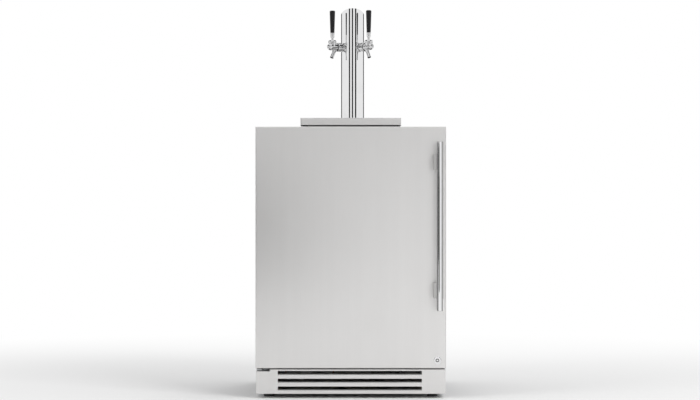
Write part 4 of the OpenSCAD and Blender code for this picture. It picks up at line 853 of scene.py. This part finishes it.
class AddTrayRim(Operator):
    """Add the rolled rim of the drip tray"""

    bl_idname = "dispenser.add_tray_rim"
    bl_label = "Tray rim"

    def execute(self, context):
        over, drop = 0.9, 0.9
        low, high = box_mm("drip_tray")
        width, depth = high.x - low.x + over, high.y - low.y + over
        place = shift((low.x + high.x) / 2, (low.y + high.y) / 2, high.z - drop)
        shape = bmesh.new()
        frame_strip(shape, width, depth, place, corner=5.4, strip=1.8, height=1.3, round_r=0.55)
        new_piece("tray_rim", "tray", "polished steel", "stainless", shape, 50)
        return {"FINISHED"}


class AddCompressorFittings(Operator):
    """Add the compressor's rubber mounts, bolts and cover ribs"""

    bl_idname = "dispenser.add_compressor_fittings"
    bl_label = "Compressor fittings"

    def execute(self, context):
        shell_centre, shell_to_cover, plate_top = 73, 76, 3
        foot_x, foot_y = 62, 36
        first_rib, rib_pitch, rib_width, rib_half = 45, 6.4, 2.6, 15.5
        strap_bottom, strap_top, strap_half = 58, 61, 18.9
        grommet = [
            (4.1, 0), (8.4, 0), (8.8, 1.0), (8.4, 2.2), (7.2, 3.0), (7.2, 4.2), (8.0, 5.0), (7.6, 6.4),
            (4.1, 6.4),
        ]
        washer = [(0, 6.5), (7.4, 6.5), (7.4, 7.7), (0, 7.7)]
        head = [(0, 7.7), (5.4, 7.7), (5.4, 11.0), (4.7, 11.7), (0, 11.7)]
        low, high = box_mm("compressor")
        shell_x, middle_y, plate = low.x + shell_centre, (low.y + high.y) / 2, low.z + plate_top
        rubber, bolts, cover = bmesh.new(), bmesh.new(), bmesh.new()
        for x in (-foot_x, foot_x):
            for y in (-foot_y, foot_y):
                foot = (shell_x + x, middle_y + y, plate)
                turned(rubber, grommet, foot, steps=28)
                turned(bolts, washer, foot, steps=28)
                turned(bolts, head, foot, steps=6)
        outer = shell_x + shell_to_cover
        for row in range(6):
            foot = plate + first_rib + row * rib_pitch
            low_corner = (outer - 0.4, middle_y - rib_half, foot)
            block(cover, low_corner, (outer + 1.4, middle_y + rib_half, foot + rib_width), 0.5)
        low_corner = (outer - 6, middle_y - strap_half, plate + strap_bottom)
        block(cover, low_corner, (outer - 2, middle_y + strap_half, plate + strap_top), 0.8)
        new_piece("compressor_mounts", "cabinet", "seal rubber dark", "seal", rubber)
        new_piece("compressor_bolts", "cabinet", "zinc sheet", "galvanised", bolts, 25)
        new_piece("compressor_cover_ribs", "cabinet", "black plastic", "black_plastic", cover)
        return {"FINISHED"}


class AddVentHoods(Operator):
    """Add the pressed hoods over the slots of the rear panel"""

    bl_idname = "dispenser.add_vent_hoods"
    bl_label = "Vent hoods"

    def execute(self, context):
        first_row, rows, row_pitch = 112.5, 7, 22
        column, half_width = 120, 72
        hood = [
            (-0.2, 6.6), (0.7, 6.1), (1.35, 4.8), (1.6, 2.8), (1.6, 0.6), (1.1, 0.6), (1.1, 2.6), (0.7, 4.2),
            (-0.2, 5.2),
        ]
        low, high = box_mm("rear_panel")
        shape = bmesh.new()
        for row in range(rows):
            foot = low.z + first_row + row_pitch * row
            section = [(high.y + out, foot + up) for out, up in hood]
            for middle in (-column, column):
                swept(shape, section, middle - half_width, middle + half_width)
        new_piece("vent_hoods", "cabinet", "zinc sheet", "galvanised", shape, 50)
        return {"FINISHED"}


class AddDoorLining(Operator):
    """Add the beads of the door liner and the retainer inside its seal"""

    bl_idname = "dispenser.add_door_lining"
    bl_label = "Door lining"

    def execute(self, context):
        retainer_inset, bead_insets, bead_depth = 40, (96, 132), 8
        low, high = box_mm("door_gasket")
        wide, tall = high.x - low.x, high.z - low.z
        middle = shift((low.x + high.x) / 2, box_mm("door_liner")[1].y, (low.z + high.z) / 2)
        back = middle @ Matrix.Rotation(-RIGHT_ANGLE, 4, "X")
        retainer, beads = bmesh.new(), bmesh.new()
        section = {"corner": 5, "strip": 3.5, "height": 1.6, "round_r": 0.5}
        frame_strip(retainer, wide - retainer_inset, tall - retainer_inset, back, **section)
        floor = shift(0, -bead_depth, 0) @ back
        for inset in bead_insets:
            frame_strip(beads, wide - inset, tall - inset, floor, corner=16, strip=5, height=1.4, round_r=0.7)
        new_piece("door_seal_retainer", "door", "liner plastic", "liner", retainer)
        new_piece("door_liner_beads", "door", "liner plastic", "liner", beads)
        return {"FINISHED"}


class AddLinerRibs(Operator):
    """Add the pressed ribs of the keg space's walls"""

    bl_idname = "dispenser.add_liner_ribs"
    bl_label = "Liner ribs"

    def execute(self, context):
        liner_wall, heights = 2, (330, 500, 670)
        behind, ahead = 185, 195
        section = [(-0.4, -5.0), (0.5, -3.6), (1.0, -1.8), (1.0, 1.8), (0.5, 3.6), (-0.4, 5.0)]
        wall = box_mm("inner_liner")[0].x + liner_wall
        shape = bmesh.new()
        for height in heights:
            swept(shape, section, -behind, ahead, shift(wall, 0, height) @ spun(-90))
        new_piece("liner_wall_ribs", "cabinet", "liner plastic", "liner", shape, 60)
        return {"FINISHED"}


class AddHandleScrews(Operator):
    """Add the grub screws in the handle's brackets"""

    bl_idname = "dispenser.add_handle_screws"
    bl_label = "Handle screws"

    def execute(self, context):
        from_end, behind_middle = 24, 6
        profile = [(0, -0.2), (2.6, -0.2), (2.6, 0.12), (1.6, 0.12), (1.3, -0.15), (0, -0.15)]
        low, high = box_mm("handle_brackets")
        depth = (low.y + high.y) / 2 + behind_middle
        shape = bmesh.new()
        for z in (low.z + from_end, high.z - from_end):
            turned(shape, profile, (low.x, depth, z), (-1, 0, 0), 24)
        new_piece("handle_grub_screws", "door", "black enamel", "dark_metal", shape)
        return {"FINISHED"}


class AddFanCaps(Operator):
    """Add the spring clips on the fans' hubs"""

    bl_idname = "dispenser.add_fan_caps"
    bl_label = "Fan clips"

    def execute(self, context):
        clip = [(0, -0.3), (5.2, -0.3), (5.2, 0.5), (4.2, 1.0), (2.6, 1.0), (2.2, 0.6), (0, 0.6)]
        for node, body, axis in (
            ("evaporator_fan", "cold_fan", TO_FRONT),
            ("condenser_fan", "warm_fan", (-1, 0, 0)),
        ):
            low, high = box_mm(node)
            hub = (low + high) / 2
            place = (hub.x, low.y, hub.z) if axis == TO_FRONT else (low.x, hub.y, hub.z)
            shape = bmesh.new()
            turned(shape, clip, place, axis, 24)
            new_piece(f"{body}_clip", body, "zinc sheet", "galvanised", shape)
        return {"FINISHED"}


class AddCouplerRibs(Operator):
    """Add the grip ribs of the keg coupler's handle"""

    bl_idname = "dispenser.add_coupler_ribs"
    bl_label = "Coupler ribs"

    def execute(self, context):
        grip_start, grip_length, start_radius, swell = 18, 44, 5.5, 1.5
        first_rib, rib_pitch = 26, 5.2
        lean = math.radians(35)
        along = Vector((0, -math.sin(lean), math.cos(lean)))
        pivot = joint_mm("coupler_lever_swing")
        shape = bmesh.new()
        for step in range(7):
            reach = first_rib + step * rib_pitch
            radius = start_radius + (reach - grip_start) / grip_length * swell
            turned(shape, bead(radius, 0.7), pivot + along * reach, along, 28)
        new_piece("coupler_grip_ribs", "coupler_lever", "black plastic", "black_plastic", shape, 70)
        return {"FINISHED"}


class AddHoses(Operator):
    """Add the round beer and gas hoses, on the routes of the plain ones, and their clamps"""

    bl_idname = "dispenser.add_hoses"
    bl_label = "Hoses"

    def execute(self, context):
        beer, gas, clamps = bmesh.new(), bmesh.new(), bmesh.new()
        for corners in BEER_ROUTES:
            tube(beer, rounded_route(corners, BEER_BENDS), BEER_HOSE_RADIUS)
            self.clamp(clamps, corners[-1], (0, 0, 6.5), BEER_HOSE_RADIUS)
        tube(gas, rounded_route(GAS_ROUTE, GAS_BENDS), GAS_HOSE_RADIUS)
        self.clamp(clamps, GAS_ROUTE[0], (0, 0, -3.4), GAS_HOSE_RADIUS)
        self.clamp(clamps, GAS_ROUTE[-1], (0, 6.5, 0), GAS_HOSE_RADIUS, (0, 1, 0))
        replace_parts(new_piece("beer_hoses", "cabinet", "beer hose", "hose", beer, 60), "beer_lines")
        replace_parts(new_piece("gas_hose", "cabinet", "gas hose", "gas_hose", gas, 60), "gas_line")
        new_piece("hose_clamps", "cabinet", "polished steel", "stainless", clamps)
        return {"FINISHED"}

    def clamp(self, shape, end, offset, radius, axis=(0, 0, 1)):
        """A crimped ring with its ear, a little way along from a hose's end."""
        place = Vector(end) + Vector(offset)
        inner, rim, outer = radius - 0.1, radius + 0.45, radius + 0.6
        band = [(inner, -2.8), (rim, -2.8), (outer, -2.5), (outer, 2.5), (rim, 2.8), (inner, 2.8)]
        turned(shape, band, place, axis, 32)
        block(shape, (-radius - 2.6, -1.7, -2.6), (-radius - 0.2, 1.7, 2.6), 0.5, aimed(place, axis))


class AddPocketLining(Operator):
    """Add the folded lining of the pocket that hides the door's top hinge"""

    bl_idname = "dispenser.add_pocket_lining"
    bl_label = "Pocket lining"

    def execute(self, context):
        pocket_depth, top_gap, side_gap = 7.8, 0.3, 0.3
        pin_to_right, pin_to_front, pin_to_back = 13.5, 17.5, 17.4
        pin = joint_mm("door_swing")
        low, high = box_mm("door_skin")
        left, right = low.x + side_gap, pin.x + pin_to_right
        front, back = pin.y - pin_to_front, pin.y + pin_to_back
        floor, top = high.z - pocket_depth, high.z - top_gap
        shape = bmesh.new()
        block(shape, (left, front, floor - 0.2), (right, back, floor + 0.35), 0.1)
        block(shape, (left, front - 0.2, floor), (right, front + 0.4, top), 0.1)
        block(shape, (right - 0.4, front, floor), (right + 0.2, back, top), 0.1)
        # The lining takes brushed steel painted darker, as painted shade inside the pocket
        new_piece("hinge_pocket_lining", "door", "bracket steel", "stainless", shape)
        return {"FINISHED"}


# Finishes


class FinishSteel(Operator):
    """Finish the brushed and the polished steel"""

    bl_idname = "dispenser.finish_steel"
    bl_label = "Steel"

    def execute(self, context):
        clothe("brushed steel", "door_skin")
        clothe("brushed steel across", "toe_grille", "drip_tray", "drip_grid")
        clothe(
            "polished steel", "tower_column", "tower_cap", "valve_shaft_left", "valve_shaft_right",
            "handle_tube", "lock_barrel", "lock_plug",
        )
        # The taps take the polish painted darker, as painted shade
        clothe(
            "tap plating", "tap_shanks", "shank_nuts", "tap_body_left", "tap_body_right", "tap_bonnets",
            "tap_lever_left", "tap_lever_right",
        )
        # The brackets take brushed steel painted darker, as painted shade behind the handle tube
        clothe("bracket steel", "handle_brackets")
        return {"FINISHED"}


class FinishSheetMetal(Operator):
    """Finish the painted and galvanised sheet metal"""

    bl_idname = "dispenser.finish_sheet_metal"
    bl_label = "Sheet metal"

    def execute(self, context):
        clothe("cabinet paint", "outer_wrapper")
        clothe("zinc sheet", "rear_panel", "base_frame", "hinge_plates", "cabinet_screws")
        return {"FINISHED"}


class FinishInsulation(Operator):
    """Finish the foam, the liners, the door seal and the keg floor"""

    bl_idname = "dispenser.finish_insulation"
    bl_label = "Foam, liners and seal"

    def execute(self, context):
        clothe("poured foam", "foam_insulation", "door_foam")
        clothe("liner plastic", "inner_liner", "door_liner", "evaporator_cover", "control_housing")
        clothe("seal rubber", "door_gasket")
        clothe("brushed steel across", "keg_floor")
        return {"FINISHED"}


class FinishCooling(Operator):
    """Finish the compressor, the coils, the fans and their motors, the inlet and the dial"""

    bl_idname = "dispenser.finish_cooling"
    bl_label = "Cooling"

    def execute(self, context):
        clothe("black enamel", "compressor", "evaporator_motor", "condenser_motor")
        clothe("coil fins", "evaporator_coil", "condenser_coil")
        clothe("copper", "refrigerant_lines")
        clothe("black plastic", "evaporator_fan", "condenser_fan", "power_inlet", "thermostat_dial")
        return {"FINISHED"}


class FinishDrinkParts(Operator):
    """Finish the beer lines, the gas parts and the keg coupler"""

    bl_idname = "dispenser.finish_drink_parts"
    bl_label = "Drink and gas"

    def execute(self, context):
        clothe("beer hose", "beer_lines")
        clothe("gas hose", "gas_line")
        clothe("cylinder metal", "gas_cylinder")
        clothe("brass", "cylinder_valve", "regulator_body", "keg_coupler")
        clothe("polished steel", "pressure_gauges")
        clothe("black plastic", "valve_handwheel", "regulator_knob", "coupler_handle")
        return {"FINISHED"}


class FinishPlastics(Operator):
    """Finish the feet, the bushes and the tap grips"""

    bl_idname = "dispenser.finish_plastics"
    bl_label = "Feet, bushes and grips"

    def execute(self, context):
        legs = [f"leg_{end}_{side}" for end in ("front", "rear") for side in ("left", "right")]
        clothe("black plastic", *legs, "tray_feet")
        clothe("bush nylon", "hinge_bushes")
        clothe("grip gloss", "tap_grip_left", "tap_grip_right")
        return {"FINISHED"}


# Stage


def seen_by(tree, *kinds):
    """1 for rays of these kinds, such as Camera and Glossy, and 0 for all others."""
    path = add(tree, "LightPath").outputs
    seen = path[f"Is {kinds[0]} Ray"]
    for kind in kinds[1:]:
        seen = maths(tree, "MAXIMUM", seen, path[f"Is {kind} Ray"])
    return seen


def glow(tree, kind, colour, strength=1.0):
    return add(tree, kind, {"Color": colour, "Strength": strength}).outputs[0]


def floor_material(rgb):
    """A pale floor that keeps the shadow near the object and fades into the white room far away."""
    fade_from, fade_to = 0.9, 3.2
    material = bpy.data.materials.new("Floor")
    tree = fresh_tree(material)
    matte = add(tree, "BsdfDiffuse", {"Color": shade(rgb)}).outputs[0]
    where = add(tree, "TexCoord").outputs["Object"]
    reach = add(tree, "VectorMath", {0: where}, operation="LENGTH").outputs["Value"]
    far = smooth_step(tree, reach, fade_from, fade_to)
    factor = maths(tree, "MULTIPLY", far, seen_by(tree, "Camera", "Glossy"))
    mix = add(tree, "MixShader", {0: factor, 1: matte, 2: glow(tree, "Emission", WHITE)})
    add(tree, "OutputMaterial", {"Surface": mix.outputs[0]})
    return material


def card_material(name, tone):
    material = bpy.data.materials.new(name)
    tree = fresh_tree(material)
    add(tree, "OutputMaterial", {"Surface": glow(tree, "Emission", (tone, tone, tone, 1.0))})
    return material


def white_room(strength):
    """Lights the object at a strength of its own, and looks pure white itself."""
    world = bpy.data.worlds.new("Room")
    tree = fresh_tree(world)
    seen = seen_by(tree, "Camera", "Glossy", "Transmission")
    light, looks = glow(tree, "Background", WHITE, strength), glow(tree, "Background", WHITE)
    mix = add(tree, "MixShader", {0: seen, 1: light, 2: looks})
    add(tree, "OutputWorld", {"Surface": mix.outputs[0]})
    bpy.context.scene.world = world


def lamp(name, place, look_at, size, energy):
    data = bpy.data.lights.new(name, "AREA")
    data.shape = "RECTANGLE"
    data.size, data.size_y = size
    data.energy = energy
    made = new_object(name, data)
    aim = Vector(look_at) - Vector(place)
    made.matrix_world = Matrix.Translation(place) @ aim.to_track_quat("-Z", "Y").to_matrix().to_4x4()
    made.visible_glossy = False


def card(name, azimuth, width, reach, low, high, tone):
    """Stands up one card that only mirrors see, square to the object."""
    turn = math.radians(azimuth)
    middle = Vector((reach * math.sin(turn), -reach * math.cos(turn), 0))
    side = Vector((math.cos(turn), math.sin(turn), 0)) * reach * math.tan(math.radians(width / 2))
    corners = [(middle - side, low), (middle + side, low), (middle + side, high), (middle - side, high)]
    shape = bmesh.new()
    shape.faces.new([shape.verts.new((foot.x, foot.y, level)) for foot, level in corners])
    made = mesh_object(name, shape, card_material(name, tone))
    made.visible_camera = False
    made.visible_diffuse = False
    made.visible_shadow = False
    made.visible_transmission = False


class BuildStage(Operator):
    """Set up the floor, the lamps, the cards and the camera"""

    bl_idname = "dispenser.build_stage"
    bl_label = "Stage"

    def execute(self, context):
        pick = context.scene.dispenser_stage
        shape = bmesh.new()
        bmesh.ops.create_circle(shape, cap_ends=True, segments=96, radius=30.0)
        mesh_object("floor", shape, floor_material(pick.floor))
        white_room(pick.room)
        lamp("key lamp", (2.6, -3.4, 2.9), (0.0, 0.0, 0.6), (2.2, 1.6), pick.key)
        lamp("fill lamp", (-3.2, -2.6, 1.8), (0.0, 0.0, 0.6), (1.8, 2.2), pick.fill)
        lamp("back lamp", (0.4, 3.2, 2.8), (0.0, 0.0, 0.7), (2.4, 1.4), pick.fill)
        for row in CARDS:
            card(*row)
        self.camera(context, pick)
        context.scene.view_settings.view_transform = "Standard"
        return {"FINISHED"}

    def camera(self, context, pick):
        film_width = 36.0
        left_of_middle = 0.0024
        data = bpy.data.cameras.new("camera")
        data.sensor_width = film_width
        data.lens = film_width * pick.distance / pick.picture_width
        data.shift_y = pick.horizon
        made = new_object("camera", data)
        door_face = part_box("door_skin")[0].y
        place = Matrix.Translation((-left_of_middle, door_face - pick.distance, pick.height))
        made.matrix_world = place @ Matrix.Rotation(RIGHT_ANGLE, 4, "X")
        context.scene.camera = made


# Panel


OPERATORS = [
    FinishSteel, FinishSheetMetal, FinishInsulation, FinishCooling, FinishDrinkParts, FinishPlastics,
    AddLockRing, AddGrilleLips, AddTowerTrim, AddGripCollars, AddGaugeFaces, AddDialMarks, AddTrayRim,
    AddCompressorFittings, AddVentHoods, AddDoorLining, AddLinerRibs, AddHandleScrews, AddFanCaps,
    AddCouplerRibs, AddHoses, AddPocketLining, BuildStage,
]


class DispenserPanel(Panel):
    """Sizes, colours and steps of the dispenser"""

    bl_label = "Beer dispenser"
    bl_idname = "DISPENSER_PT_steps"
    bl_space_type = "VIEW_3D"
    bl_region_type = "UI"
    bl_category = "Dispenser"

    def draw(self, context):
        column = self.layout.column()
        for group in (context.scene.dispenser_finishes, context.scene.dispenser_stage):
            box = column.box()
            for name in type(group).__annotations__:
                box.prop(group, name)
        for step in OPERATORS:
            column.operator(step.bl_idname)


CLASSES = [DispenserFinishes, DispenserStage, *OPERATORS, DispenserPanel]


def register():
    for each in CLASSES:
        bpy.utils.register_class(each)
    bpy.types.Scene.dispenser_finishes = bpy.props.PointerProperty(type=DispenserFinishes)
    bpy.types.Scene.dispenser_stage = bpy.props.PointerProperty(type=DispenserStage)


def unregister():
    del bpy.types.Scene.dispenser_stage
    del bpy.types.Scene.dispenser_finishes
    for each in reversed(CLASSES):
        bpy.utils.unregister_class(each)


def main():
    register()
    for step in OPERATORS:
        family, action = step.bl_idname.split(".")
        if getattr(getattr(bpy.ops, family), action)() != {"FINISHED"}:
            raise RuntimeError(f"{step.bl_label} did not finish")


if __name__ == "__main__":
    main()
